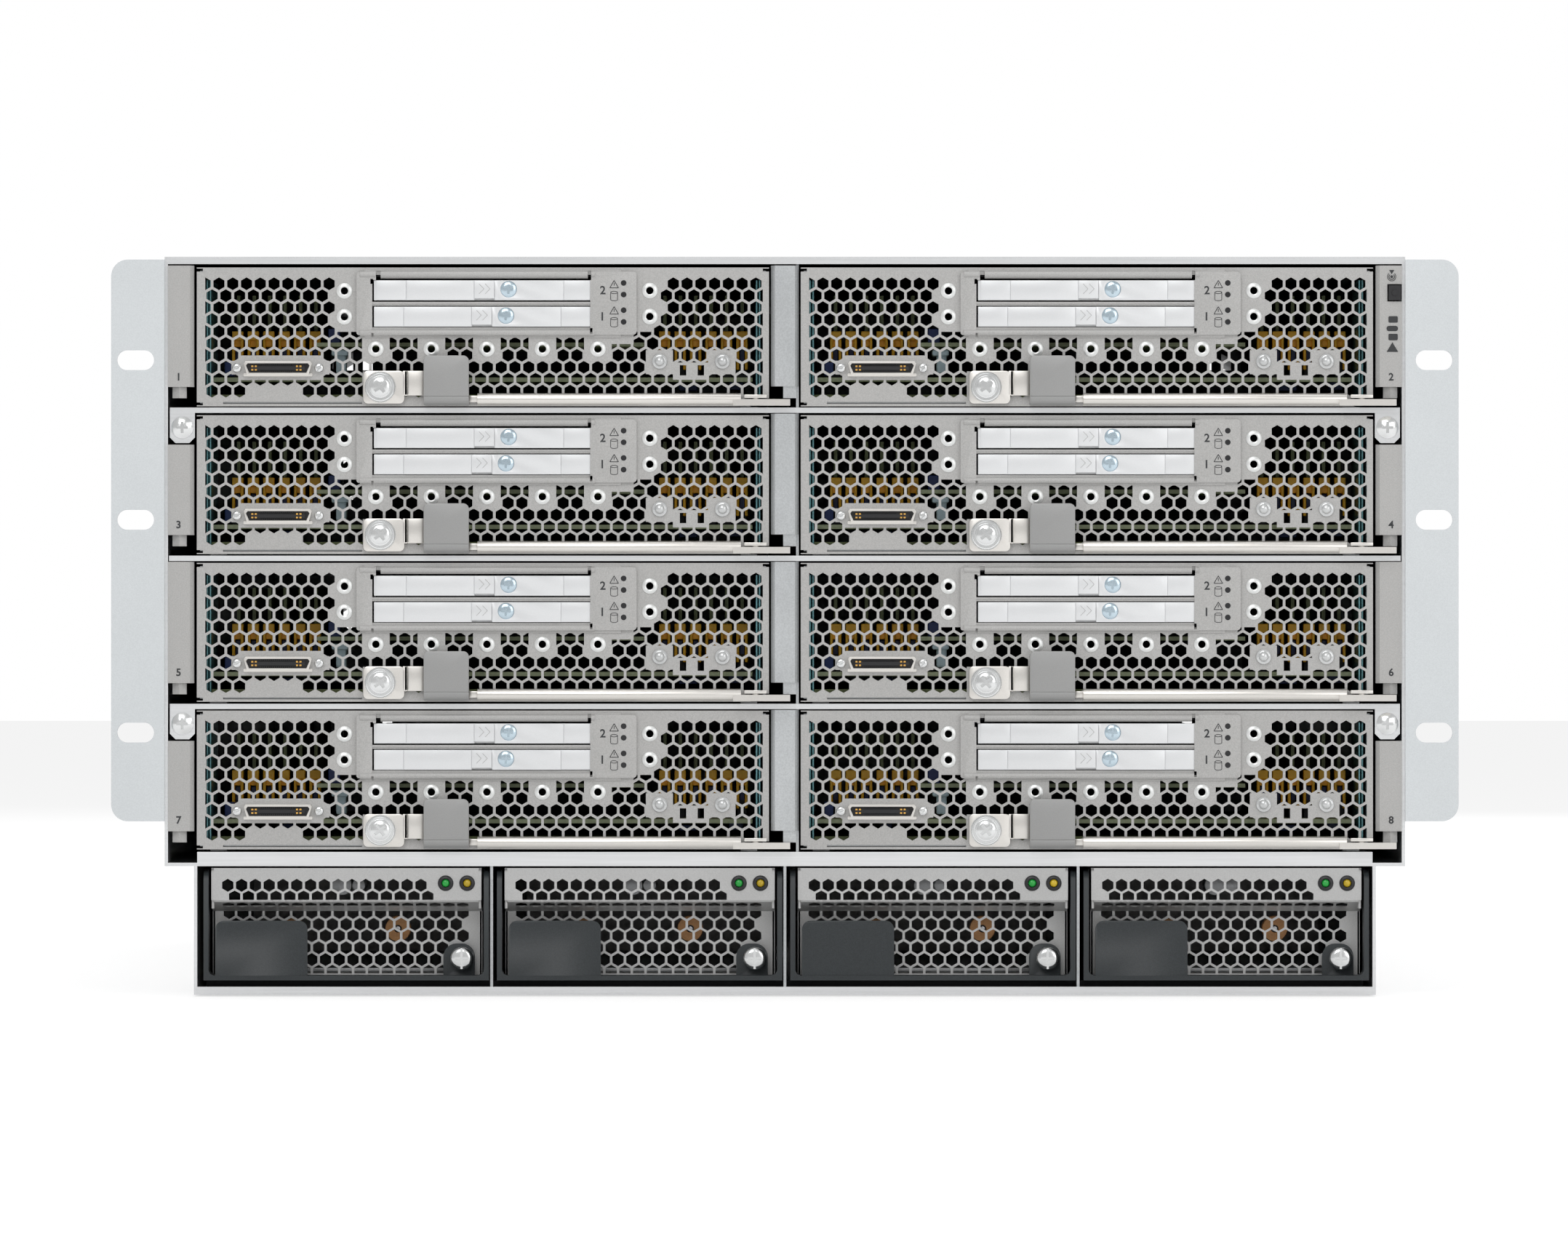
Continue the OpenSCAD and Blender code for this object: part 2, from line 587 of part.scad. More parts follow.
module blade_case() color(zinc) {
  gap = plate_t + 0.1;
  low = gap;
  y0 = plate_t + 1;
  difference() {
    block([gap, y0, low], [blade_w - gap, blade_d, blade_h - gap]);
    // room inside, open at the front
    block([gap + 1, -1, low + 1], [blade_w - gap - 1, blade_d - 1, blade_h - gap - 1]);
    // notch that the lever's hook swings through
    block([pivot_x - 4, -1, -1], [blade_w + 1, fold_d + 9, hook_notch]);
    // rear connector opening
    block([blade_w / 2 - 44, blade_d - 2, 3.5], [blade_w / 2 + 44, blade_d + 1, 22]);
    // air slots in the rear wall
    for (side = [0, 1], k = [0:4])
      block([14 + side * (blade_w - 62) + k * 8, blade_d - 2, 26], [18 + side * (blade_w - 62) + k * 8, blade_d + 1, 42]);
  }
  // mainboard on its tray
  board_z = low + 1 + seat;
  board_top = board_z + 1.6;
  block([4, 12, board_z], [blade_w - 8, blade_d - 4, board_top]);
  // two banks of memory modules behind the outer grille fields
  for (bank = [0, 1], k = [0:5])
    block([12 + bank * (blade_w - 59) + k * 6.6, 150, board_top + seat],
          [13.4 + bank * (blade_w - 59) + k * 6.6, 283, board_top + 30]);
  // finned heat sinks of the two processors
  for (y = [150, 330]) upright(y, 90) {
    translate([blade_w / 2 - 42, board_top + seat]) square([84, 5]);
    for (k = [0:8]) translate([blade_w / 2 - 42 + k * 83 / 8, board_top + 4]) square([1, 20]);
  }
  // rear connector
  block([blade_w / 2 - 39, blade_d - 24, board_top + seat], [blade_w / 2 + 39, blade_d - 2.4, board_top + 13]);
}

// Knurled rim and raised head of the thumbscrew, with a cross recess
module thumb_head() rotate([90, 0, 0]) difference() {
  union() {
    cylinder(d = thumb_d, h = 2.2, $fn = fine);
    cylinder(d = thumb_d * 0.63, h = 3.6, $fn = fine);
  }
  for (a = [0, 90]) rotate(a + 40) translate([-2.2, -0.5, 2.6]) cube([4.4, 1, 3]);
}

module blade_lever() color(steel) {
  // hook plate around the pivot, and the arm towards the bar
  difference() {
    translate([pivot_x, pivot_y, hook_z]) linear_extrude(hook_t) {
      circle(d = hook_w, $fn = fine);
      translate([-8, -hook_w / 2]) square([8, hook_w]);
      polygon([[0, -hook_w / 2], [hook_reach, -hook_w / 2], [hook_reach, 1.4], [hook_reach - 3.4, 1.4],
               [hook_reach - 4.6, hook_w / 2 - 0.8], [0, hook_w / 2]]);
    }
    translate([pivot_x, pivot_y, hook_z - 1]) cylinder(d = pivot_d + 2 * clearance, h = hook_t + 2, $fn = fine);
  }
  // half-round bar
  difference() {
    translate([bar_x, pivot_y + hook_w / 2 - 0.2, hook_z + bar_r]) rotate([0, 90, 0])
      cylinder(r = bar_r, h = bar_l, $fn = fine);
    block([bar_x - 1, pivot_y + hook_w / 2 - 0.5, hook_z - 1], [bar_x + bar_l + 1, 2, hook_z + 2 * bar_r + 1]);
  }
  // flat strip, raised thumb tab and its bent foot
  block([tab_x - strip_w - join, lever_y, 0.4], [bar_x + 0.5, lever_y + lever_t, 6.4]);
  tab_y = -5.6;
  along_x(tab_x, tab_w) difference() {
    union() {
      translate([tab_y, 3]) square([1.2, tab_h - 3]);
      translate([tab_y + 3.2, 3]) circle(r = 3.2, $fn = fine);
      translate([tab_y + 3.2, -0.2]) square([-tab_y - 3.2 - clearance, 1.2]);
    }
    translate([tab_y + 3.2, 3]) circle(r = 2, $fn = fine);
    translate([tab_y + 1.2, 3]) square([3.3, 4]);
    translate([tab_y + 3.2, 1]) square([4, 8]);
    translate([-clearance, -1]) square([4, 8]);
  }
  block([tab_x, lever_y, -0.2], [tab_x + tab_w, lever_y + lever_t, 6.4]);
  // plate of the thumbscrew
  difference() {
    upright(lever_y, lever_t) hull() for (x = [1.5, thumb_plate_w - 1.5], z = [1.5, thumb_plate_h - 1.5])
      translate([thumb_plate_x + x, 0.4 + z]) circle(r = 1.5, $fn = 16);
    pin_y(thumb_x, -5, thumb_z, 4.4, 9);
  }
  // captive thumbscrew
  translate([thumb_x, lever_y - 0.3, thumb_z]) thumb_head();
  pin_y(thumb_x, lever_y - 0.3 - join, thumb_z, 3.4, 5);
}

module blade_drive(n) color("whitesmoke") translate([sled_x, 0, sled_z(n)]) {
  // sled face with its release lever and catch
  difference() {
    block([0, -1.2, 0], [sled_w, 4, sled_h]);
    block([34, -2, 1], [41, -0.7, sled_h - 1]);
    block([40.6, -2, -1], [41.2, 1, sled_h + 1]);
    pin_y(47.5, -2, sled_h / 2, 4.4, 1.4);
  }
  // cross-head of the lever's screw
  difference() {
    pin_y(47.5, -1, sled_h / 2, 4, 1);
    for (a = [0, 90]) translate([47.5, -1.5, sled_h / 2]) rotate([0, a, 0]) translate([-1.4, 0, -0.35]) cube([2.8, 0.9, 0.7]);
  }
  // side rails and the drive between them
  for (x = [1, sled_w - 3]) block([x, 4 - join, 0.6], [x + 2, sled_d, sled_h - 0.8]);
  block([(sled_w - drive_body_w) / 2 - 1.2, 5, 0.5], [(sled_w + drive_body_w) / 2 + 1.2, sled_d - 4, sled_h - 0.7]);
}

// ---- one power supply, in its own frame: X from its handle's left side, Z from its underside

function psu_lands() = [[psu_face_x + 80, brow_z + 4, psu_w, psu_h], [psu_w - 17.4, 0, psu_w - 6, 12]];

module psu_grille(low_z, high_z) difference() {
  translate([psu_face_x, low_z]) square([psu_face_w, high_z - low_z]);
  children();
}

module psu() color(dark) {
  // upper, forward part of the face
  upright(0, 1) psu_grille(brow_z + 3.4, psu_h)
    hexagons([psu_face_x + 2.4, brow_z + 3.6], [psu_w - psu_face_x - 2.4, psu_h - 1.2], psu_hex_pitch, psu_lands());
  // slanting underside of the forward part
  along_x(psu_face_x, psu_face_w) polygon([
    [0, brow_z + 3.6], [0, brow_z + 3.2], [1, brow_z + 2.6], [psu_recess + 0.6, brow_z - 0.6],
    [psu_recess + 0.6, brow_z + 0.6], [1, brow_z + 3.8]]);
  // lower grille, with the hole of the captive screw
  upright(psu_recess, 1) psu_grille(1, brow_z) {
    hexagons([psu_face_x + 2.4, 2], [psu_w - psu_face_x - 2.4, brow_z - 0.8], psu_hex_pitch, psu_lands());
    translate([psu_w - psu_screw_in, psu_screw_z]) circle(d = 6, $fn = 12);
  }
  // side walls and top of the face
  for (x = [psu_face_x, psu_w - psu_face_x - 1]) along_x(x, 1) polygon([
    [0, psu_h], [0, brow_z + 3.2], [psu_recess - 1, brow_z - 1], [psu_recess, 1], [16 + join, 1], [16 + join, psu_h]]);
  block([psu_face_x, 0, psu_h - 1], [psu_w - psu_face_x, 16 + join, psu_h]);
  // floor of the recess
  block([psu_face_x, psu_recess, 0.6], [psu_w - psu_face_x, 16 + join, 1.6]);
  // case
  difference() {
    block([psu_face_x - 0.6, 16, 0], [psu_w - psu_face_x + 0.6, psu_d, psu_h - 0.4]);
    block([psu_face_x + 1, 15, 1.2], [psu_w - psu_face_x - 1, psu_d - 1, psu_h - 1.4]);
  }
  // capacitors and transformer behind the grille
  block([psu_face_x + 8, 60, 1.2 - join], [psu_w / 2 - 4, 150, 30]);
  translate([psu_w * 0.66, 40, 17]) rotate([90, 0, 0]) cylinder(d = 9, h = 12, $fn = fine);
  block([psu_w * 0.66 - 2, 28, 1.2 - join], [psu_w * 0.66 + 2, 40, 13.2]);
  // hinge pins of the handle
  for (x = [arm_t * 0.4, psu_w - psu_face_x - join]) translate([x, handle_pivot_y, handle_pivot_z]) rotate([0, 90, 0])
    cylinder(d = pin_d, h = psu_face_x - arm_t * 0.4 + join, $fn = fine);
}

module psu_handle() color(dark) {
  arm_y = -1;
  arm_d = 12;
  difference() {
    union() {
      for (x = [0, psu_w - arm_t]) along_x(x, arm_t) hull() {
        translate([handle_pivot_y, handle_pivot_z]) circle(r = 4.4, $fn = 32);
        translate([arm_y, 0]) square([arm_d, 6]);
      }
      block([0, arm_y, 0], [psu_w, arm_y + arm_d, 1.7]);
    }
    for (x = [-1, psu_w - arm_t - 1]) translate([x, handle_pivot_y, handle_pivot_z]) rotate([0, 90, 0])
      cylinder(d = pin_d + 2 * clearance, h = arm_t + 2, $fn = fine);
  }
  // pull tab with rounded top corners
  upright(1, 1.6) {
    translate([3.7, 1]) square([32.8, 17]);
    translate([6.3, 1]) square([27.6, 19.7]);
    for (x = [6.3, 33.9]) translate([x, 18]) circle(r = 2.6, $fn = fine);
  }
  // bracket and captive screw
  upright(8.4, 1.4) {
    translate([psu_w - psu_screw_in - 5.6, 1]) square([11.2, psu_screw_z - 1]);
    translate([psu_w - psu_screw_in, psu_screw_z]) circle(r = 5.6, $fn = fine);
  }
  translate([psu_w - psu_screw_in, 8.4, psu_screw_z]) pan_screw(8.2, 3.4, 5.2);
}

chassis_shell();
top_cover();
rack_ears();
shelves();
dividers();
slot_plates();
chassis_screws();
midplane();
fan_modules();
io_modules();
power_inlets();
locator_button();
for (n = [1:8]) {
  at_blade(n) blade_case();
  at_blade(n) blade_faceplate();
  at_blade(n) blade_lever();
  at_blade(n) blade_drive(1);
  at_blade(n) blade_drive(2);
}
for (n = [1:4]) {
  at_psu(n) psu();
  at_psu(n) psu_handle();
}
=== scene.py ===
import bpy
import bmesh
from math import pi, radians, sqrt, cos, sin
from mathutils import Matrix, Vector


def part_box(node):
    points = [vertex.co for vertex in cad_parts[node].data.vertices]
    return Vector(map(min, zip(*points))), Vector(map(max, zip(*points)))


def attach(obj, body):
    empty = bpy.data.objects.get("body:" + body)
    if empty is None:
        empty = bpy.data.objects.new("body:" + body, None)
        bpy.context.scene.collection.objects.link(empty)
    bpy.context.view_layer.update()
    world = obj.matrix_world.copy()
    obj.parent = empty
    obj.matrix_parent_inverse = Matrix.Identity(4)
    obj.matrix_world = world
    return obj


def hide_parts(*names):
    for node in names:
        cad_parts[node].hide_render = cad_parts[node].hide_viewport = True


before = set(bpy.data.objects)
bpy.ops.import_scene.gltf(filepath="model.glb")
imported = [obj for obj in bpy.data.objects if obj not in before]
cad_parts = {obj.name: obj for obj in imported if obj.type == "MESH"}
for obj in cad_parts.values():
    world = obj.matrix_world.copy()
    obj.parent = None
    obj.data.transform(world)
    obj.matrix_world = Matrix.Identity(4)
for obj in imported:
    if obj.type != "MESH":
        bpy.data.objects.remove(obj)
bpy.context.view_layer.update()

mm = 0.001


# Stage, camera and lamps

cameraSettings = {
    "distance": 4.2,
    "pictureWidth": 0.56181,  # metres across the picture at the front of the chassis
    "height": 0.13158,
    "sideways": -0.00031,
}


def makeCamera(s):
    cam = bpy.data.cameras.new("camera")
    cam.sensor_width = 36
    cam.lens = 36 * s["distance"] / s["pictureWidth"]
    cam.clip_end = 50
    obj = bpy.data.objects.new("camera", cam)
    bpy.context.scene.collection.objects.link(obj)
    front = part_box("shelves")[0].y
    obj.location = (s["sideways"], front - s["distance"], s["height"])
    obj.rotation_euler = (radians(90), 0, 0)
    bpy.context.scene.camera = obj


lampSettings = {
    "key": {"place": (-0.5, -2.6, 2.1), "size": 1.8, "power": 23},
    "fill": {"place": (1.6, -2.2, 0.9), "size": 1.5, "power": 9},
    "top": {"place": (0.0, 0.2, 2.6), "size": 2.4, "power": 20},
    "rear": {"place": (0.8, 3.0, 1.6), "size": 2.0, "power": 20},
}


def makeLamps(lamps):
    for name, s in lamps.items():
        data = bpy.data.lights.new(name, "AREA")
        data.shape = "SQUARE"
        data.size = s["size"]
        data.energy = s["power"]
        obj = bpy.data.objects.new(name, data)
        bpy.context.scene.collection.objects.link(obj)
        obj.location = s["place"]
        aim = Vector((0, 0, 0.13)) - obj.location
        obj.rotation_euler = aim.to_track_quat("-Z", "Y").to_euler()


def makeWorld(skyStrength):
    world = bpy.data.worlds.new("studio")
    bpy.context.scene.world = world
    world.use_nodes = True
    nodes, links = world.node_tree.nodes, world.node_tree.links
    nodes.clear()
    out = nodes.new("ShaderNodeOutputWorld")
    sky = nodes.new("ShaderNodeBackground")
    sky.inputs["Color"].default_value = (1, 1, 1, 1)
    sky.inputs["Strength"].default_value = skyStrength
    seen = nodes.new("ShaderNodeBackground")
    seen.inputs["Color"].default_value = (1, 1, 1, 1)
    path = nodes.new("ShaderNodeLightPath")
    mix = nodes.new("ShaderNodeMixShader")
    links.new(path.outputs["Is Camera Ray"], mix.inputs[0])
    links.new(sky.outputs[0], mix.inputs[1])
    links.new(seen.outputs[0], mix.inputs[2])
    links.new(mix.outputs[0], out.inputs["Surface"])


floorSettings = {
    "reach": 12.0, "drop": 0.0006, "tone": 0.97,
    "glow": 1.2, "glowShare": 0.55,  # seen by the camera only, so that the floor is white round its shadow
}


def makeFloor(s):
    bm = bmesh.new()
    bmesh.ops.create_grid(bm, x_segments=1, y_segments=1, size=s["reach"])
    bmesh.ops.translate(bm, verts=bm.verts, vec=(0, 0, -s["drop"]))
    mesh = bpy.data.meshes.new("floor")
    bm.to_mesh(mesh)
    obj = bpy.data.objects.new("floor", mesh)
    bpy.context.scene.collection.objects.link(obj)
    mat = bpy.data.materials.new("paleFloor")
    mat.use_nodes = True
    nodes, links = mat.node_tree.nodes, mat.node_tree.links
    nodes.clear()
    out = nodes.new("ShaderNodeOutputMaterial")
    paint = nodes.new("ShaderNodeBsdfDiffuse")
    paint.inputs["Color"].default_value = (s["tone"], s["tone"], s["tone"], 1)
    glow = nodes.new("ShaderNodeEmission")
    glow.inputs["Strength"].default_value = s["glow"]
    path = nodes.new("ShaderNodeLightPath")
    share = nodes.new("ShaderNodeMath")
    share.operation = "MULTIPLY"
    share.inputs[1].default_value = s["glowShare"]
    mix = nodes.new("ShaderNodeMixShader")
    links.new(path.outputs["Is Camera Ray"], share.inputs[0])
    links.new(share.outputs[0], mix.inputs[0])
    links.new(paint.outputs[0], mix.inputs[1])
    links.new(glow.outputs[0], mix.inputs[2])
    links.new(mix.outputs[0], out.inputs["Surface"])
    mesh.materials.append(mat)


makeCamera(cameraSettings)
makeLamps(lampSettings)
makeWorld(skyStrength=0.55)
makeFloor(floorSettings)
bpy.context.scene.view_settings.view_transform = "Standard"
print("stage, camera and lamps are in place")


# Finishes

finishes = {
    "facePaint": {"color": (0.455, 0.45, 0.44), "metal": 0.2, "rough": 0.5, "grain": 0.26, "grainSize": 0.35,
                  "bump": 0.25, "cloud": 0.05},
    "brightZinc": {"color": (0.84, 0.85, 0.86), "metal": 0.7, "rough": 0.24, "grain": 0.10, "grainSize": 0.7,
                   "bump": 0.06, "cloud": 0.12, "streak": (0.02, 1, 1)},
    "zincPost": {"color": (0.60, 0.62, 0.63), "metal": 0.9, "rough": 0.34, "grain": 0.2, "grainSize": 0.6,
                 "bump": 0.1, "cloud": 0.2},
    "earPaint": {"color": (0.66, 0.69, 0.705), "metal": 0.1, "rough": 0.42, "grain": 0.10, "grainSize": 0.5,
                 "bump": 0.12, "cloud": 0.03},
    "nickel": {"color": (0.80, 0.775, 0.735), "metal": 0.95, "rough": 0.3, "grain": 0.05, "grainSize": 0.4,
               "bump": 0.04, "cloud": 0.06},
    "tabPaint": {"color": (0.355, 0.355, 0.352), "metal": 0.35, "rough": 0.42, "grain": 0.10, "grainSize": 0.3,
                 "bump": 0.12, "cloud": 0.04},
    "sledSilver": {"color": (0.80, 0.81, 0.82), "metal": 0.45, "rough": 0.34, "grain": 0.04, "grainSize": 0.3,
                   "bump": 0.04, "cloud": 0.03},
    "screwSteel": {"color": (0.82, 0.83, 0.83), "metal": 1.0, "rough": 0.2, "grain": 0.05, "grainSize": 0.3,
                   "bump": 0.03, "cloud": 0.08},
    "blueZinc": {"color": (0.60, 0.72, 0.80), "metal": 0.95, "rough": 0.22, "grain": 0.05, "grainSize": 0.3,
                 "bump": 0.03, "cloud": 0.1},
    "insertWhite": {"color": (0.80, 0.81, 0.80), "metal": 0.5, "rough": 0.3, "grain": 0.04, "grainSize": 0.3,
                    "bump": 0.04, "cloud": 0.03},
    "slatePaint": {"color": (0.0238, 0.0288, 0.0317), "metal": 0.0, "rough": 0.46, "grain": 0.5, "grainSize": 0.3,
                   "bump": 0.25, "cloud": 0.1},
    "psuSheet": {"color": (0.52, 0.52, 0.515), "metal": 0.5, "rough": 0.42, "grain": 0.16, "grainSize": 0.35,
                 "bump": 0.15, "cloud": 0.06},
    "caseZinc": {"color": (0.55, 0.57, 0.58), "metal": 0.9, "rough": 0.38, "grain": 0.12, "grainSize": 0.8,
                 "bump": 0.06, "cloud": 0.15},
    # near-black: the sockets' own black, and painted shade on the bay's cage, the heat sinks, the bay's rear and the
    # strip on the chassis floor
    "blackAndPaintedShade": {"color": (0.018, 0.019, 0.021), "metal": 0.3, "rough": 0.6, "grain": 0.2, "grainSize": 1.5,
                   "bump": 0.1, "cloud": 0.3},
    "boardOlive": {"color": (0.17, 0.20, 0.085), "metal": 0.0, "rough": 0.5, "grain": 0.25, "grainSize": 0.8,
                   "bump": 0.1, "cloud": 0.2},
    "boardEdge": {"color": (0.36, 0.41, 0.25), "metal": 0.0, "rough": 0.5, "grain": 0.2, "grainSize": 0.8,
                  "bump": 0.05, "cloud": 0.15},
    # orange made brighter than the latches' own colour, as painted light that makes up for the shade inside the case
    "latchOrangePaintedLight": {"color": (1, 0.51, 0.017), "metal": 0.0, "rough": 0.4, "grain": 0.05, "grainSize": 0.5,
                    "bump": 0.05, "cloud": 0.1},
    "blackMould": {"color": (0.016, 0.016, 0.018), "metal": 0.0, "rough": 0.42, "grain": 0.3, "grainSize": 0.5,
                   "bump": 0.2, "cloud": 0.1},
    "contactGold": {"color": (0.90, 0.55, 0.16), "metal": 1.0, "rough": 0.25, "grain": 0.03, "grainSize": 0.2,
                    "bump": 0.02, "cloud": 0.05},
    "tealStrip": {"color": (0.20, 0.42, 0.45), "metal": 0.8, "rough": 0.25, "grain": 0.3, "grainSize": 0.8,
                  "bump": 0.3, "cloud": 0.6},
    "blueMould": {"color": (0.012, 0.035, 0.16), "metal": 0.0, "rough": 0.4, "grain": 0.1, "grainSize": 0.5,
                  "bump": 0.1, "cloud": 0.2},
    "paleMould": {"color": (0.55, 0.70, 0.78), "metal": 0.0, "rough": 0.4, "grain": 0.05, "grainSize": 0.5,
                  "bump": 0.1, "cloud": 0.1},
    "coilBrown": {"color": (0.40, 0.20, 0.075), "metal": 0.2, "rough": 0.5, "grain": 0.2, "grainSize": 0.6,
                  "bump": 0.2, "cloud": 0.2},
    "ink": {"color": (0.035, 0.037, 0.04), "metal": 0.0, "rough": 0.6, "grain": 0.1, "grainSize": 0.3,
            "bump": 0.02, "cloud": 0.1},
    "lampClear": {"color": (0.62, 0.63, 0.63), "metal": 0.4, "rough": 0.08, "grain": 0.02, "grainSize": 1.0,
                  "bump": 0.02, "cloud": 0.35},
    "lampGreen": {"color": (0.02, 0.42, 0.06), "metal": 0.0, "rough": 0.12, "grain": 0.3, "grainSize": 0.9,
                  "bump": 0.4, "cloud": 0.6},
    "lampAmber": {"color": (0.60, 0.42, 0.02), "metal": 0.0, "rough": 0.12, "grain": 0.3, "grainSize": 0.9,
                  "bump": 0.4, "cloud": 0.6},
    "lampDark": {"color": (0.02, 0.02, 0.022), "metal": 0.0, "rough": 0.15, "grain": 0.1, "grainSize": 0.9,
                 "bump": 0.2, "cloud": 0.3},
    "moduleSheet": {"color": (0.50, 0.51, 0.52), "metal": 0.85, "rough": 0.36, "grain": 0.12, "grainSize": 0.7,
                    "bump": 0.08, "cloud": 0.15},
}


def makeFinish(name, s):
    # sheet metal or moulding: broad clouds and fine grain in the colour, and grain in the bump
    mat = bpy.data.materials.new(name)
    mat.use_nodes = True
    nodes, links = mat.node_tree.nodes, mat.node_tree.links
    shader = nodes["Principled BSDF"]
    shader.inputs["Metallic"].default_value = s["metal"]
    coords = nodes.new("ShaderNodeTexCoord")
    place = nodes.new("ShaderNodeMapping")
    place.inputs["Scale"].default_value = s.get("streak", (1, 1, 1))
    links.new(coords.outputs["Object"], place.inputs["Vector"])
    fine = nodes.new("ShaderNodeTexNoise")
    fine.inputs["Scale"].default_value = 1 / (s["grainSize"] * mm)
    fine.inputs["Detail"].default_value = 2
    broad = nodes.new("ShaderNodeTexNoise")
    broad.inputs["Scale"].default_value = 28
    broad.inputs["Detail"].default_value = 4
    for noise in (fine, broad):
        links.new(place.outputs[0], noise.inputs["Vector"])
    tone = nodes.new("ShaderNodeMath")
    tone.operation = "MULTIPLY_ADD"
    tone.inputs[1].default_value = 2 * s["grain"]
    tone.inputs[2].default_value = 1 - s["grain"]
    links.new(fine.outputs["Fac"], tone.inputs[0])
    cloud = nodes.new("ShaderNodeMath")
    cloud.operation = "MULTIPLY_ADD"
    cloud.inputs[1].default_value = 2 * s["cloud"]
    cloud.inputs[2].default_value = 1 - s["cloud"]
    links.new(broad.outputs["Fac"], cloud.inputs[0])
    both = nodes.new("ShaderNodeMath")
    both.operation = "MULTIPLY"
    links.new(tone.outputs[0], both.inputs[0])
    links.new(cloud.outputs[0], both.inputs[1])
    shade = nodes.new("ShaderNodeVectorMath")
    shade.operation = "SCALE"
    shade.inputs[0].default_value = s["color"]
    links.new(both.outputs[0], shade.inputs["Scale"])
    links.new(shade.outputs[0], shader.inputs["Base Color"])
    rough = nodes.new("ShaderNodeMapRange")
    rough.inputs["To Min"].default_value = s["rough"] * 0.8
    rough.inputs["To Max"].default_value = min(1, s["rough"] * 1.25)
    links.new(broad.outputs["Fac"], rough.inputs["Value"])
    links.new(rough.outputs[0], shader.inputs["Roughness"])
    bump = nodes.new("ShaderNodeBump")
    bump.inputs["Strength"].default_value = s["bump"]
    bump.inputs["Distance"].default_value = 0.08 * mm
    links.new(fine.outputs["Fac"], bump.inputs["Height"])
    links.new(bump.outputs[0], shader.inputs["Normal"])
    return mat


finish = {name: makeFinish(name, s) for name, s in finishes.items()}
print("finishes are made:", len(finish))


# Small tools for meshes. Sizes are in millimetres, in the frame of the piece

def addBox(bm, low, high):
    made = bmesh.ops.create_cube(bm, size=1)["verts"]
    size = Vector(high) - Vector(low)
    bmesh.ops.scale(bm, vec=size * mm, verts=made)
    bmesh.ops.translate(bm, vec=(Vector(low) + size / 2) * mm, verts=made)
    return made


def addRod(bm, start, end, radius, segments=32):
    a, b = Vector(start) * mm, Vector(end) * mm
    made = bmesh.ops.create_cone(bm, cap_ends=True, segments=segments, radius1=radius * mm, radius2=radius * mm,
                                 depth=(b - a).length)["verts"]
    turn = (b - a).to_track_quat("Z", "Y").to_matrix().to_4x4()
    bmesh.ops.transform(bm, matrix=Matrix.Translation((a + b) / 2) @ turn, verts=made)
    return made


def addTurned(bm, centre, profile, segments=40):
    # profile: (radius, y) points turned round an axis along Y
    made = [bm.verts.new((r * mm, y * mm, 0)) for r, y in profile]
    edges = [bm.edges.new(pair) for pair in zip(made, made[1:] + made[:1])]
    bmesh.ops.spin(bm, geom=made + edges, cent=(0, 0, 0), axis=(0, 1, 0), dvec=(0, 0, 0), angle=2 * pi,
                   steps=segments, use_merge=True, use_duplicate=False)
    fresh = [v for v in bm.verts if not v.tag]      # a tag marks what is already in its place
    bmesh.ops.remove_doubles(bm, verts=fresh, dist=1e-7)
    fresh = [v for v in bm.verts if not v.tag]
    faces = list(dict.fromkeys(f for v in fresh for f in v.link_faces))
    bmesh.ops.recalc_face_normals(bm, faces=faces)
    bmesh.ops.translate(bm, vec=Vector(centre) * mm, verts=fresh)
    for v in fresh:
        v.tag = True
    return fresh


def pushed(bm, points, push):
    # a flat outline pushed out into a solid
    verts = [bm.verts.new([c * mm for c in p]) for p in points]
    moved = bmesh.ops.extrude_face_region(bm, geom=[bm.faces.new(verts)])["geom"]
    bmesh.ops.translate(bm, vec=[c * mm for c in push], verts=[g for g in moved if isinstance(g, bmesh.types.BMVert)])
    return verts, [g for g in moved if isinstance(g, bmesh.types.BMFace)]


def addPlate(bm, outline, front, depth):
    # outline: (x, z) points, pushed back from y = front
    verts, ends = pushed(bm, [(x, front, z) for x, z in outline], (0, depth, 0))
    faces = [f for f in bm.faces if any(v in verts for v in f.verts)] + ends
    bmesh.ops.recalc_face_normals(bm, faces=list(dict.fromkeys(faces)))


def roundedOutline(low, high, radius, steps=6):
    points = []
    for cx, cz, turn in ((high[0], high[1], 0), (low[0], high[1], 1), (low[0], low[1], 2), (high[0], low[1], 3)):
        sx = -1 if turn in (0, 3) else 1
        sz = -1 if turn in (0, 1) else 1
        for k in range(steps + 1):
            a = (turn + k / steps) * pi / 2
            points.append((cx + sx * radius + radius * cos(a), cz + sz * radius + radius * sin(a)))
    return points


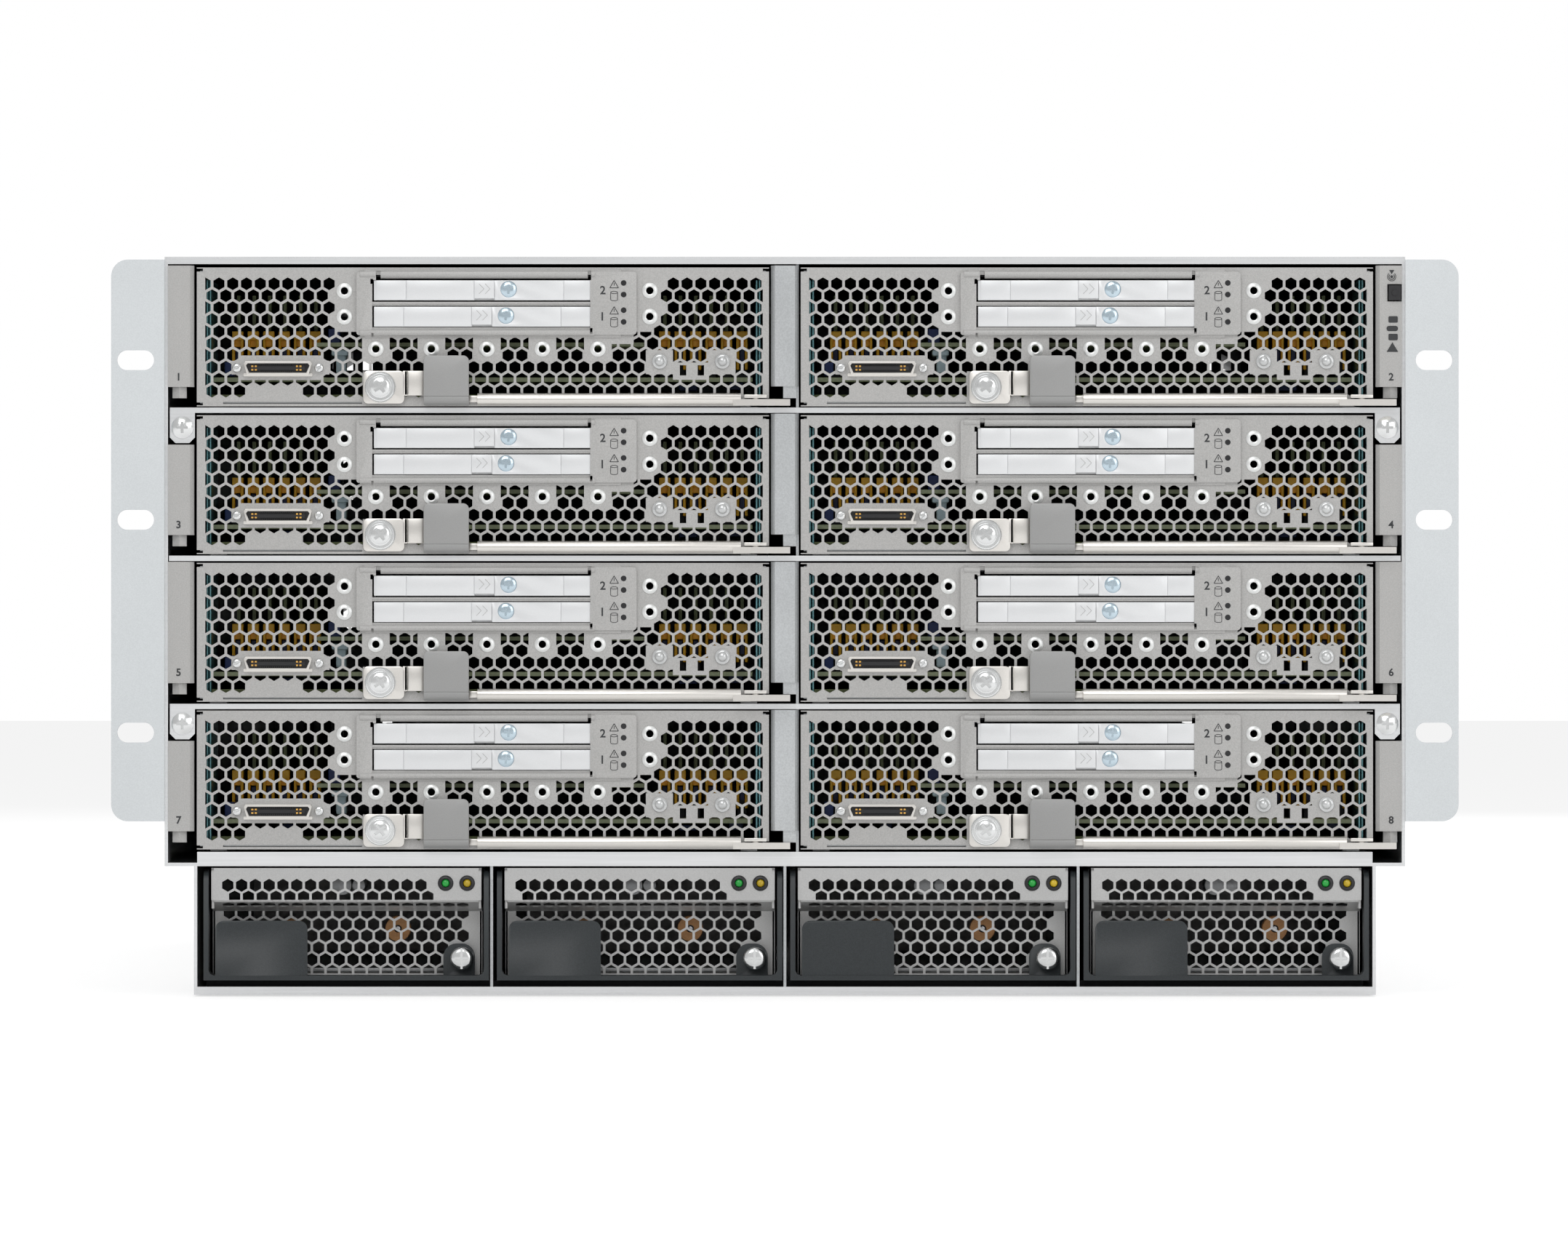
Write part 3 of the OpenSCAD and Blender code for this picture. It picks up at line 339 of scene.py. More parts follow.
def settle(bm, name, bevel=0.0, segments=2, cutter=None, overlapping=True):
    # turns a bmesh into a finished mesh, cut by a bmesh or a mesh and with its edges eased
    mesh = bpy.data.meshes.new(name)
    bm.to_mesh(mesh)
    bm.free()
    obj = bpy.data.objects.new(name, mesh)
    bpy.context.scene.collection.objects.link(obj)
    spare = [obj]
    if cutter is not None:
        toolMesh = cutter
        if not isinstance(cutter, bpy.types.Mesh):
            toolMesh = bpy.data.meshes.new("tool")
            cutter.to_mesh(toolMesh)
            cutter.free()
        tool = bpy.data.objects.new("tool", toolMesh)
        bpy.context.scene.collection.objects.link(tool)
        spare.append(tool)
        cut = obj.modifiers.new("cut", "BOOLEAN")
        cut.operation = "DIFFERENCE"
        cut.object = tool
        cut.solver = "EXACT"
        cut.use_self = overlapping
    if bevel:
        ease = obj.modifiers.new("ease", "BEVEL")
        ease.width = bevel * mm
        ease.segments = segments
        ease.limit_method = "ANGLE"
        ease.angle_limit = radians(40)
        ease.use_clamp_overlap = True
    graph = bpy.context.evaluated_depsgraph_get()
    done = bpy.data.meshes.new_from_object(obj.evaluated_get(graph))
    for o in spare:
        bpy.data.objects.remove(o)
    done.name = name
    return done


def softShade(mesh, angle=35):
    mesh.shade_smooth()
    mesh.set_sharp_from_angle(angle=radians(angle))
    return mesh


def putPiece(name, mesh, finishName, body, origin=(0, 0, 0), stands=()):
    own = mesh.copy()
    own.transform(Matrix.Translation(origin))
    own.materials.clear()
    own.materials.append(finish[finishName])
    obj = bpy.data.objects.new(name, own)
    bpy.context.scene.collection.objects.link(obj)
    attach(obj, body)
    if stands:
        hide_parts(*stands)
    return obj


def crossRecess(bm, centre, length, width, front, depth, turn=0):
    for a in (turn, turn + 90):
        made = addBox(bm, (-length / 2, front, -width / 2), (length / 2, front + depth, width / 2))
        bmesh.ops.rotate(bm, cent=(0, 0, 0), matrix=Matrix.Rotation(radians(a), 3, "Y"), verts=made)
        bmesh.ops.translate(bm, vec=Vector((centre[0], 0, centre[1])) * mm, verts=made)


def hexPrism(bm, x, z, flat, front, depth, squash=1.0):
    corner = flat / sqrt(3)
    points = [(x + corner * cos(radians(a)), z + squash * corner * sin(radians(a))) for a in range(30, 390, 60)]
    addPlate(bm, points, front, depth)


def numberMesh(text, height, weight=0.09):
    curve = bpy.data.curves.new("number", "FONT")
    curve.body = text
    curve.size = height * mm / 0.7
    curve.offset = weight * mm
    curve.align_x = "CENTER"
    curve.align_y = "CENTER"
    curve.resolution_u = 3
    obj = bpy.data.objects.new("number", curve)
    bpy.context.scene.collection.objects.link(obj)
    graph = bpy.context.evaluated_depsgraph_get()
    mesh = bpy.data.meshes.new_from_object(obj.evaluated_get(graph))
    bpy.data.objects.remove(obj)
    mesh.transform(Matrix.Rotation(radians(90), 4, "X"))
    return mesh


def withMesh(bm, mesh, place):
    spot = Matrix.Translation(Vector(place) * mm)
    before = set(bm.verts)
    bm.from_mesh(mesh)
    bmesh.ops.transform(bm, matrix=spot, verts=[v for v in bm.verts if v not in before])


# One blade, from its left lower front corner

blade = {"width": 205, "height": 49.7, "fold": 8, "sheet": 1.0, "features": 0.8}
grille = {
    "pitch": 4.933, "flat": 4.0, "firstX": 2.2, "topZ": 43.9, "rows": 10,
    "left": 2.2, "right": 202.0,
}
# places where the grille is whole sheet: (x0, z0, x1, z1)
lands = {
    "bayAndRings": (48.6, 26.7, 162.8, 49), "bayFoot": (147.7, 22.3, 155.7, 27),
    "connector": (14.2, 9.4, 44.1, 18.2), "jacks": (11.6, 11.4, 46.7, 16.3),
    "lampLeft": (160.1, 11.5, 169.8, 20.1), "lampRight": (182.4, 11.5, 192.2, 20.1),
    "windows": (169.8, 9.5, 182.4, 15.7), "thumbPlate": (58.7, 0, 74.0, 12.5),
}
noHoles = [(47, 29, 166, 49), (16, 0, 37.5, 8), (45.2, 12.5, 48.6, 15.5)]
ringRow = {"first": 63.35, "pitch": 19.89, "z": 20.55, "count": 5}
ringPlaces = [(52.1, 41.35), (52.1, 32.07), (161.5, 41.45), (161.5, 32.15)]
ringPlaces += [(ringRow["first"] + ringRow["pitch"] * i, ringRow["z"]) for i in range(ringRow["count"])]
lampPlaces = [(165.05, 16.1), (187.55, 16.1)]


def grilleCutter():
    bm = bmesh.new()
    step = grille["pitch"] * sqrt(3) / 2
    for row in range(grille["rows"]):
        z = grille["topZ"] - step * row
        for k in range(42):
            x = grille["firstX"] + grille["pitch"] * (k + (row % 2) / 2)
            if x > grille["right"] + 1.4:
                continue
            if any(a < x < c and b < z < d for a, b, c, d in noHoles):
                continue
            hexPrism(bm, x, z, grille["flat"], -1, 3)
    block = bmesh.new()
    for x0, z0, x1, z1 in lands.values():
        addBox(block, (x0, -2, z0), (x1, 4, z1))
    for x, z in ringPlaces[4:]:
        addBox(block, (x - 4.95, -2, 16.1), (x + 4.95, 4, 27))
    addBox(block, (-2, -2, -2), (grille["left"], 4, 50))
    addBox(block, (grille["right"], -2, -2), (208, 4, 50))
    return settle(bm, "grilleHoles", cutter=joined(block), overlapping=False)


def joined(bm):
    # overlapping boxes made one closed solid
    mesh = bpy.data.meshes.new("boxes")
    bm.to_mesh(mesh)
    bm.free()
    obj = bpy.data.objects.new("boxes", mesh)
    bpy.context.scene.collection.objects.link(obj)
    mod = obj.modifiers.new("join", "BOOLEAN")
    mod.operation = "UNION"
    mod.solver = "EXACT"
    mod.use_self = True
    mod.operand_type = "COLLECTION"
    mod.collection = bpy.data.collections.new("none")
    graph = bpy.context.evaluated_depsgraph_get()
    done = bpy.data.meshes.new_from_object(obj.evaluated_get(graph))
    bpy.data.objects.remove(obj)
    return done


def faceplateMesh():
    h, s = blade["height"], blade["sheet"]
    low = -blade["features"]                       # the sheet's left edge; holes and fittings count from 0
    w = low + blade["width"]
    shell = bmesh.new()
    addBox(shell, (low, 0, 0), (w, blade["fold"], h))
    hollow = bmesh.new()
    addBox(hollow, (low + s, s, s), (w - s, blade["fold"] + 2, h - s))
    for x in (low + 0.9, w - 0.9):                       # relief notches of the folded corners
        for z in (0.9, h - 0.9):
            addBox(hollow, (x - 1.3, -1, z - 0.55), (x + 1.3, 12, z + 0.55))
    addBox(hollow, (197.5, -1, -1), (w + 1, 20, 2.9))     # gap for the lever's hook
    addBox(hollow, (8.6, -1, 0.85), (58.4, s + 0.3, 1.55))  # slit at the lower edge
    addBox(hollow, (58.8 + low, -1, 26.6), (156.2 + low, 6, h - 2.6))  # drive bay
    addBox(hollow, (17.1, -1, 11.7), (39.5, 6, 15.8))      # connector
    body = settle(shell, "faceplate", cutter=joined(hollow))
    holes = grilleCutter()
    bm = bmesh.new()
    bm.from_mesh(body)
    cutter = bmesh.new()
    cutter.from_mesh(holes)
    for x, z in ringPlaces:
        addRod(cutter, (x, -1, z), (x, 4, z), 1.5, 20)
    for x, z in ((173.4, 12.9), (179.8, 12.9)):
        addBox(cutter, (x - 1.15, -1, z - 1.85), (x + 1.15, 4, z + 1.85))
    return settle(bm, "faceplate", bevel=0.16, segments=1, cutter=cutter, overlapping=False)


def ringsMesh():
    bm = bmesh.new()
    profile = [(1.35, 2.5), (1.35, -0.55), (1.75, -0.75), (2.35, -0.6),
               (2.8, -0.25), (2.85, 0.05), (1.9, 0.1), (1.9, 2.5)]
    for x, z in ringPlaces:
        addTurned(bm, (x, 0, z), profile, 28)
    return softShade(settle(bm, "rings"), 40)


def lampsMesh():
    bm = bmesh.new()
    profile = [(0.001, -2.2), (0.9, -2.1), (1.5, -1.7), (1.8, -1.0), (2.0, -0.9),
               (2.6, -0.85), (2.75, -0.5), (2.75, 0.05), (0.001, 0.05)]
    for x, z in lampPlaces:
        addTurned(bm, (x, 0, z), profile, 32)
    return softShade(settle(bm, "lamps"), 40)


def bayFrameMesh():
    # frame proud of the faceplate: left plate, label plate and rolled lips
    bm = bmesh.new()
    addPlate(bm, roundedOutline((57.25, 25.5), (62.9, 48.0), 0.9), -1.4, 1.6)
    addBox(bm, (62.0, -1.4, 45.2), (64.9, 0.2, 48.0))
    addPlate(bm, roundedOutline((141.0, 25.6), (157.6, 48.2), 1.3), -1.4, 1.6)
    addBox(bm, (60, -0.5, 24.6), (152, 0.6, 28.3))
    addBox(bm, (60, -0.5, 45.8), (152, 0.6, 48.9))
    for z, radius in ((26.3, 1.2), (47.2, 1.15)):
        addRod(bm, (58.5, -0.9, z), (142.6, -0.9, z), radius, 20)
    addBox(bm, (62.4, -0.7, 36.0), (142.0, 0.4, 37.2))
    addRod(bm, (62.4, -0.65, 36.95), (142.0, -0.65, 36.95), 0.5, 12)
    cutter = bmesh.new()
    for x0, z0, x1, z1 in ((64.2, 44.6, 65.9, 48.6), (140.1, 45.2, 141.3, 48.6), (62.2, 43.8, 63.2, 45.6),
                           (140.9, 26.0, 141.8, 28.0), (62.6, 24, 63.4, 26.2)):
        addBox(cutter, (x0, -3, z0), (x1, 3, z1))
    return softShade(settle(bm, "bayFrame", bevel=0.2, cutter=joined(cutter)), 40)


def bayCageMesh():
    # box that the drives run in, near-black as painted shade inside the bay
    bm = bmesh.new()
    addBox(bm, (58.8, 1.2, 27.0), (59.4, 116, 46.7))
    addBox(bm, (155.6, 1.2, 27.0), (156.2, 116, 46.7))
    addBox(bm, (58.8, 1.2, 46.5), (156.2, 116, 47.0))
    addBox(bm, (58.8, 1.2, 26.6), (156.2, 116, 27.1))
    return settle(bm, "bayCage")


def bayMarksMesh():
    # numbers, and the outlines of a triangle and a drum, on the label plate
    bm = bmesh.new()
    x, y = 149.55, -1.42
    for text, numberX, z in (("2", 145.5, 41.4), ("1", 145.3, 32.0)):
        withMesh(bm, numberMesh(text, 2.9), (numberX, y, z))
        outline = [(x - 1.55, z + 1.0), (x + 1.55, z + 1.0), (x, z + 3.65)]
        for a, b in zip(outline, outline[1:] + outline[:1]):
            addRod(bm, (a[0], y, a[1]), (b[0], y, b[1]), 0.13, 6)
        addRod(bm, (x, y, z + 1.8), (x, y, z + 2.8), 0.13, 6)
        low, high = z - 3.2, z - 0.65
        addRod(bm, (x - 1.25, y, low), (x - 1.25, y, high), 0.12, 6)
        addRod(bm, (x + 1.25, y, low), (x + 1.25, y, high), 0.12, 6)
        for level, first in ((high, 0), (low, 12)):
            angles = [2 * pi * k / 24 for k in range(first, 25)]
            ring = [(x + 1.25 * cos(a), level + 0.42 * sin(a)) for a in angles]
            for a, b in zip(ring, ring[1:]):
                addRod(bm, (a[0], y, a[1]), (b[0], y, b[1]), 0.11, 5)
    return settle(bm, "bayMarks")


def bayLampsMesh():
    bm = bmesh.new()
    for z in (44.15, 40.0, 34.4, 30.2):
        addRod(bm, (152.95, -1.5, z), (152.95, 0.3, z), 1.05, 20)
    return settle(bm, "bayLamps", bevel=0.15)


connector = {"left": 16.15, "right": 40.45, "low": 11.2, "high": 16.1, "slope": 1.15, "wall": 0.75, "front": -2.8}


def connectorOutline(inset):
    c = connector
    return [(c["left"] + c["slope"] + inset, c["low"] + inset), (c["right"] - c["slope"] - inset, c["low"] + inset),
            (c["right"] - inset, c["high"] - 0.8 - inset), (c["right"] - 0.6 - inset, c["high"] - inset),
            (c["left"] + 0.6 + inset, c["high"] - inset), (c["left"] + inset, c["high"] - 0.8 - inset)]


def connectorShellMesh():
    c = connector
    bm = bmesh.new()
    addPlate(bm, connectorOutline(0), c["front"], 3.4)
    addPlate(bm, roundedOutline((c["left"] - 0.2, c["low"] - 0.5), (c["right"] + 0.2, c["low"] + 0.6), 0.35), -1.0, 1.2)
    cutter = bmesh.new()
    addPlate(cutter, connectorOutline(c["wall"]), -4, 4.6)
    return softShade(settle(bm, "connectorShell", bevel=0.3, segments=3, cutter=cutter), 40)


def connectorInsertMesh():
    c = connector
    bm = bmesh.new()
    addBox(bm, (c["left"] + 0.9, -0.5, c["low"] + 0.3), (c["right"] - 0.9, 2.0, c["high"] - 0.3))
    for k in range(17):                            # contact combs of the two rows
        x = 21.7 + 0.72 * k
        for z in (12.25, 14.75):
            addBox(bm, (x, -1.7, z), (x + 0.36, 0, z + 0.42))
    addBox(bm, (c["left"] + 2.4, -1.3, 12.95), (c["right"] - 2.4, 0, 14.35))
    return settle(bm, "connectorInsert")


def connectorContactsMesh():
    bm = bmesh.new()
    for x in (18.75, 20.0, 34.75, 36.0):
        for z in (12.75, 14.0):
            addBox(bm, (x, -1.6, z), (x + 0.8, -0.9, z + 0.62))
    return settle(bm, "connectorContacts", bevel=0.08, segments=1)


def jackScrewsMesh():
    bm = bmesh.new()
    profile = [(0.001, -1.8), (0.7, -1.85), (1.3, -1.7), (1.65, -1.3), (1.7, 0.1), (0.001, 0.1)]
    for x in (13.6, 43.05):
        addTurned(bm, (x, 0, 13.75), profile, 24)
    cutter = bmesh.new()
    for x, turn in ((13.6, 65), (43.05, 28)):
        made = addBox(cutter, (-0.22, -3, -2), (0.22, -1.35, 2))
        bmesh.ops.rotate(cutter, cent=(0, 0, 0), matrix=Matrix.Rotation(radians(turn), 3, "Y"), verts=made)
        bmesh.ops.translate(cutter, vec=(x * mm, 0, 13.75 * mm), verts=made)
    return softShade(settle(bm, "jackScrews", cutter=cutter), 40)


def bracketMesh():
    # tongue over the hook and the pin that the lever turns on
    bm = bmesh.new()
    addBox(bm, (196.5, -5.4, 2.9), (204.5, 0.3, 4.1))
    addRod(bm, (200.5, -3, 0.2), (200.5, -3, 3.2), 1.2, 24)
    return softShade(settle(bm, "bracket", bevel=0.2), 40)


# What is seen through the grille
inside = {
    "boardZ": 9.1, "boardFront": 14, "latchY": 42, "latchZ": 17.5,
    "banks": (10.5, 165), "modules": 6, "firstModule": 2.2, "modulePitch": 5.6,
}


def modulePlaces():
    # the middles of the memory modules of both banks
    s = inside
    return [left + s["firstModule"] + s["modulePitch"] * k for left in s["banks"] for k in range(s["modules"])]


def caseMesh():
    w, h = blade["width"], blade["height"]
    bm = bmesh.new()
    addBox(bm, (1.1, 2, 1.1), (w - 1.1, 600, h - 1.1))
    cutter = bmesh.new()
    addBox(cutter, (2.1, -1, 2.1), (w - 2.1, 599, h - 2.1))
    addBox(cutter, (196.5, -1, -1), (w + 1, 17, 2.9))
    addBox(cutter, (w / 2 - 44, 590, 3.5), (w / 2 + 44, 604, 22))
    for side in (0, 1):
        for k in range(5):
            addBox(cutter, (14 + side * (w - 62) + k * 8, 590, 26), (18 + side * (w - 62) + k * 8, 604, 42))
    return settle(bm, "case", cutter=joined(cutter))


def boardMesh():
    bm = bmesh.new()
    addBox(bm, (4, 12, 2.4), (196, 590, 4.4))
    return settle(bm, "board")


def boardEdgeMesh():
    bm = bmesh.new()
    addBox(bm, (5, inside["boardFront"], inside["boardZ"]), (199, inside["boardFront"] + 90, inside["boardZ"] + 1.5))
    addBox(bm, (42, 20, 21.9), (160, 100, 23.3))
    return settle(bm, "boardEdge")


def memoryMesh():
    bm = bmesh.new()
    for x in modulePlaces():
        addBox(bm, (x - 0.6, inside["latchY"] + 8, 11), (x + 0.6, inside["latchY"] + 140, 41))
    return settle(bm, "memory")


def latchMesh():
    bm = bmesh.new()
    for x in modulePlaces():
        y, z = inside["latchY"], inside["latchZ"]
        addBox(bm, (x - 2.0, y, z + 7.2), (x + 2.0, y + 5, z + 10.4))
        for side in (-1, 1):
            addBox(bm, (x + side * 1.55 - 0.5, y, z - 3.5), (x + side * 1.55 + 0.5, y + 5, z + 7.3))
        addBox(bm, (x - 1.2, y + 1.5, z + 4.8), (x + 1.2, y + 5, z + 7.3))
    return settle(bm, "latches", bevel=0.2, segments=1)


def socketMesh():
    # sockets, heat sinks and the rear of the drive bay, near-black: the sockets' own black, with painted shade on the
    # heat sinks and the bay's rear
    bm = bmesh.new()
    for x in modulePlaces():
        addBox(bm, (x - 1.6, inside["latchY"] + 3, 10.6), (x + 1.6, inside["latchY"] + 150, 17))
    for y in (150, 330):
        addBox(bm, (60, y, 10.6), (145, y + 90, 15))
        for k in range(24):
            addBox(bm, (60 + 3.6 * k, y, 15), (60.8 + 3.6 * k, y + 90, 40))
    addBox(bm, (60, 118, 6), (150, 124, 44))
    return settle(bm, "sockets")


def blueBitsMesh():
    bm = bmesh.new()
    bits = ((8.6, 11.5, 3.2, 5), (29, 6.2, 4, 2.4), (46, 22.5, 4.2, 6), (172.5, 6.2, 6.5, 2), (190.5, 6.5, 5, 3.6))
    for x, z, w, h in bits:
        addBox(bm, (x, 30, z), (x + w, 40, z + h))
    for x in modulePlaces():
        addBox(bm, (x - 0.9, inside["latchY"] + 4, 10.6), (x + 0.9, inside["latchY"] + 9, 22))
    return settle(bm, "blueBits", bevel=0.2, segments=1)


def paleBitsMesh():
    bm = bmesh.new()
    addBox(bm, (49.0, 24, 12.2), (52.6, 34, 20.4))
    addBox(bm, (47.4, 22, 18.6), (53.4, 32, 20.8))
    return settle(bm, "paleBits", bevel=0.6)


def edgeStripsMesh():
    bm = bmesh.new()
    for x in (3.0, 4.1, 200.2, 201.3):
        addBox(bm, (x, 9, 3), (x + 0.7, 60, 45.5))
    return settle(bm, "edgeStrips", bevel=0.15, segments=1)


# Ejector lever

lever = {
    "barLeft": 100.9, "barRight": 201.9, "barZ": 2.45, "barRadius": 2.25,
    "tabLeft": 81.7, "tabRight": 97.9, "tabTop": 18.1, "tabFoot": 0.3,
    "plateLeft": 60.0, "plateRight": 74.7, "thumb": (66.1, 6.9), "pivot": (200.5, -3),
}


def leverBarMesh():
    s = lever
    bm = bmesh.new()
    addRod(bm, (s["barLeft"], -1.1, s["barZ"]), (s["barRight"], -1.1, s["barZ"]), s["barRadius"], 32)
    cutter = bmesh.new()
    addBox(cutter, (90, -1.4, -4), (210, 4, 8))
    addBox(cutter, (s["pivot"][0] - 5.2, -6, 2.5), (210, 4, 8))
    bar = settle(bm, "bar", bevel=0.3, cutter=joined(cutter))
    bm = bmesh.new()
    bm.from_mesh(bar)
    hook = [(192.5, -0.9), (192.5, -5.1), (212.9, -5.1), (212.9, -1.6), (209.5, -1.6), (208.2, -2.2), (202, -0.9)]
    pushed(bm, [(x, y, 0.2) for x, y in hook], (0, 0, 2.3))
    bmesh.ops.recalc_face_normals(bm, faces=bm.faces)
    hole = bmesh.new()
    addRod(hole, (*s["pivot"], -3), (*s["pivot"], 6), 1.6, 24)
    return softShade(settle(bm, "leverBar", bevel=0.2, cutter=hole), 40)


def leverStripMesh():
    # thumbscrew plate and the stepped strips to the tab and the bar
    s = lever
    bm = bmesh.new()
    addPlate(bm, roundedOutline((s["plateLeft"], 0.9), (s["plateRight"], 12.7), 1.7), -2.7, 1.5)
    addBox(bm, (s["plateRight"] - 0.6, -2.7, 3.9), (75.9, -1.2, 12.7))
    addBox(bm, (75.6, -1.8, 3.8), (s["tabLeft"] + 0.4, -0.6, 12.7))
    addBox(bm, (74.7, -2.7, 3.7), (75.9, -0.6, 12.7))
    addBox(bm, (s["tabLeft"], -1.8, 0.4), (s["tabRight"], -0.5, 6.9))
    addBox(bm, (s["tabRight"] - 0.5, -1.8, 1.4), (s["barLeft"] + 1, -0.5, 3.8))
    return softShade(settle(bm, "leverStrip", bevel=0.25), 40)


def leverTabMesh():
    # raised tab whose foot is bent back under
    s = lever
    low = s["tabFoot"]
    bm = bmesh.new()
    addPlate(bm, roundedOutline((s["tabLeft"], low - 4), (s["tabRight"], s["tabTop"]), 2.0), -5.6, 1.3)
    trim = bmesh.new()
    addBox(trim, (70, -9, -9), (110, 2, low + 3.2))
    face = settle(bm, "tabFace", cutter=trim)
    bm = bmesh.new()
    bm.from_mesh(face)
    bend = [(-2.4 + 3.2 * cos(pi + a), low + 3.2 + 3.2 * sin(pi + a)) for a in [pi / 2 * k / 8 for k in range(9)]]
    back = [(-2.4 + 1.9 * cos(pi + a), low + 3.2 + 1.9 * sin(pi + a)) for a in [pi / 2 * k / 8 for k in range(9)]]
    section = bend + [(-0.5, low), (-0.5, low + 1.3)] + back[::-1]
    pushed(bm, [(s["tabLeft"], y, z) for y, z in section], (s["tabRight"] - s["tabLeft"], 0, 0))
    bmesh.ops.recalc_face_normals(bm, faces=bm.faces)
    return softShade(settle(bm, "leverTab", bevel=0.22), 40)


def thumbscrewMesh():
    x, z = lever["thumb"]
    bm = bmesh.new()
    addTurned(bm, (x, 0, z), [(0.001, -4.9), (3.0, -4.9), (3.35, -4.65), (3.45, -3.6), (3.9, -3.55), (4.0, -3.3),
                              (4.7, -3.3), (4.8, -3.45), (5.2, -3.4), (5.45, -3.1), (5.45, -2.75), (0.001, -2.75)], 48)
    for k in range(60):                             # knurled rim
        made = addBox(bm, (5.3, -3.2, -0.15), (5.65, -2.75, 0.15))
        bmesh.ops.rotate(bm, cent=(0, 0, 0), matrix=Matrix.Rotation(2 * pi * k / 60, 3, "Y"), verts=made)
        bmesh.ops.translate(bm, vec=(x * mm, 0, z * mm), verts=made)
    addRod(bm, (x, -2.8, z), (x, 2.8, z), 1.7, 20)
    cutter = bmesh.new()
    crossRecess(cutter, (x, z), 4.6, 1.0, -6, 2.2, 52)
    return softShade(settle(bm, "thumbscrew", cutter=joined(cutter)), 40)


# Drives: the upper one is 2, the lower one 1

sled = {"left": 63.5, "low": 28.5, "width": 78.3, "height": 7.15, "screwX": 110.8, "screwZ": 32.45}


def sledMesh(shift):
    # the shift moves the panels of the face, which aren't at the same places on both sleds
    x0, z0, w, h = sled["left"], sled["low"], sled["width"], sled["height"]
    bm = bmesh.new()
    addBox(bm, (x0, -0.6, z0), (x0 + w, 4.4, z0 + h))
    panels = ((x0 + 0.1, 74.0, -1.0, 0.15), (74.3, 98.3, -1.2, 0.1), (98.6, 105.6, -1.0, 0.75),
              (105.9, 130.4, -1.2, 0.05), (130.6, x0 + w - 0.1 - shift, -1.0, 0.2))
    for left, right, front, low in panels:
        addBox(bm, (left + shift, front, z0 + low), (right + shift, 0, z0 + h - 0.1))
    cutter = bmesh.new()
    screwX, screwZ = sled["screwX"] + shift, sled["screwZ"]
    addRod(cutter, (screwX, -2, screwZ), (screwX, -0.75, screwZ), 2.98, 32)
    addBox(cutter, (105.62 + shift, -2, z0 - 1), (105.88 + shift, -0.2, z0 + 9))
    addBox(cutter, (98.5 + shift, -2, z0 - 1), (105.8 + shift, 1, z0 + 0.7))
    return softShade(settle(bm, "sled", bevel=0.14, cutter=joined(cutter)), 40)


def sledRailsMesh():
    bm = bmesh.new()
    x0, z0 = sled["left"], sled["low"]
    for x in (x0 + 1, x0 + 75.3):
        addBox(bm, (x, 4, z0 + 0.6), (x + 2, 110, z0 + 6.5))
    return settle(bm, "rails", bevel=0.15, segments=1)


def driveMesh():
    bm = bmesh.new()
    x0, z0 = sled["left"], sled["low"]
    addBox(bm, (x0 + 3.1, 5, z0 + 0.5), (x0 + 75.3, 106, z0 + 6.6))
    return settle(bm, "drive", bevel=0.4)


def sledScrewMesh(shift):
    bm = bmesh.new()
    x, z = sled["screwX"] + shift, sled["screwZ"]
    addTurned(bm, (x, 0, z), [(0.001, -1.5), (1.6, -1.45), (2.6, -1.2), (2.88, -0.9), (2.88, -0.5), (0.001, -0.5)], 36)
    cutter = bmesh.new()
    crossRecess(cutter, (x, z), 3.4, 0.75, -3, 2.1, 4)
    return softShade(settle(bm, "sledScrew", cutter=joined(cutter)), 40)


def chevronMesh(shift):
    bm = bmesh.new()
    for k in range(2):
        x, z = 100.2 + shift + 2.2 * k, 32.6
        for end in (1.8, -1.8):
            addRod(bm, (x, -0.99, z + end), (x + 1.75, -0.99, z), 0.1, 6)
    return settle(bm, "chevron")


bladeMeshes = {
    "faceplate": (faceplateMesh(), "facePaint", "grey_faceplate", ("faceplate",)),
    "rings": (ringsMesh(), "insertWhite", "nickel", ()),
    "lamps": (lampsMesh(), "lampClear", "nickel", ()),
    "bayFrame": (bayFrameMesh(), "facePaint", "grey_faceplate", ()),
    "bayCage": (bayCageMesh(), "blackAndPaintedShade", "grey_faceplate", ()),
    "bayMarks": (bayMarksMesh(), "ink", "black_plastic", ()),
    "bayLamps": (bayLampsMesh(), "lampDark", "black_plastic", ()),
    "connectorShell": (connectorShellMesh(), "nickel", "nickel", ()),
    "connectorInsert": (connectorInsertMesh(), "blackMould", "black_plastic", ()),
    "connectorContacts": (connectorContactsMesh(), "contactGold", "nickel", ()),
    "jackScrews": (jackScrewsMesh(), "screwSteel", "nickel", ()),
    "leverBracket": (bracketMesh(), "nickel", "nickel", ()),
    "case": (caseMesh(), "caseZinc", "bright_zinc", ("case",)),
    "board": (boardMesh(), "boardOlive", "board", ()),
    "boardEdge": (boardEdgeMesh(), "boardEdge", "board", ()),
    "memory": (memoryMesh(), "boardOlive", "board", ()),
    "latches": (latchMesh(), "latchOrangePaintedLight", "black_plastic", ()),
    "sockets": (socketMesh(), "blackAndPaintedShade", "black_plastic", ()),
    "blueBits": (blueBitsMesh(), "blueMould", "black_plastic", ()),
    "paleBits": (paleBitsMesh(), "paleMould", "black_plastic", ()),
    "edgeStrips": (edgeStripsMesh(), "tealStrip", "bright_zinc", ()),
}
leverMeshes = {
    "bar": (leverBarMesh(), "nickel", "nickel", ("lever",)),
    "strip": (leverStripMesh(), "nickel", "nickel", ()),
    "tab": (leverTabMesh(), "tabPaint", "nickel", ()),
    "thumbscrew": (thumbscrewMesh(), "screwSteel", "nickel", ()),
}
print("blade pieces are modelled")


bladePlaces = {"inward": 0.3, "lowest": 52.1, "pitch": 52.9}   # the faceplates' own corners, in millimetres


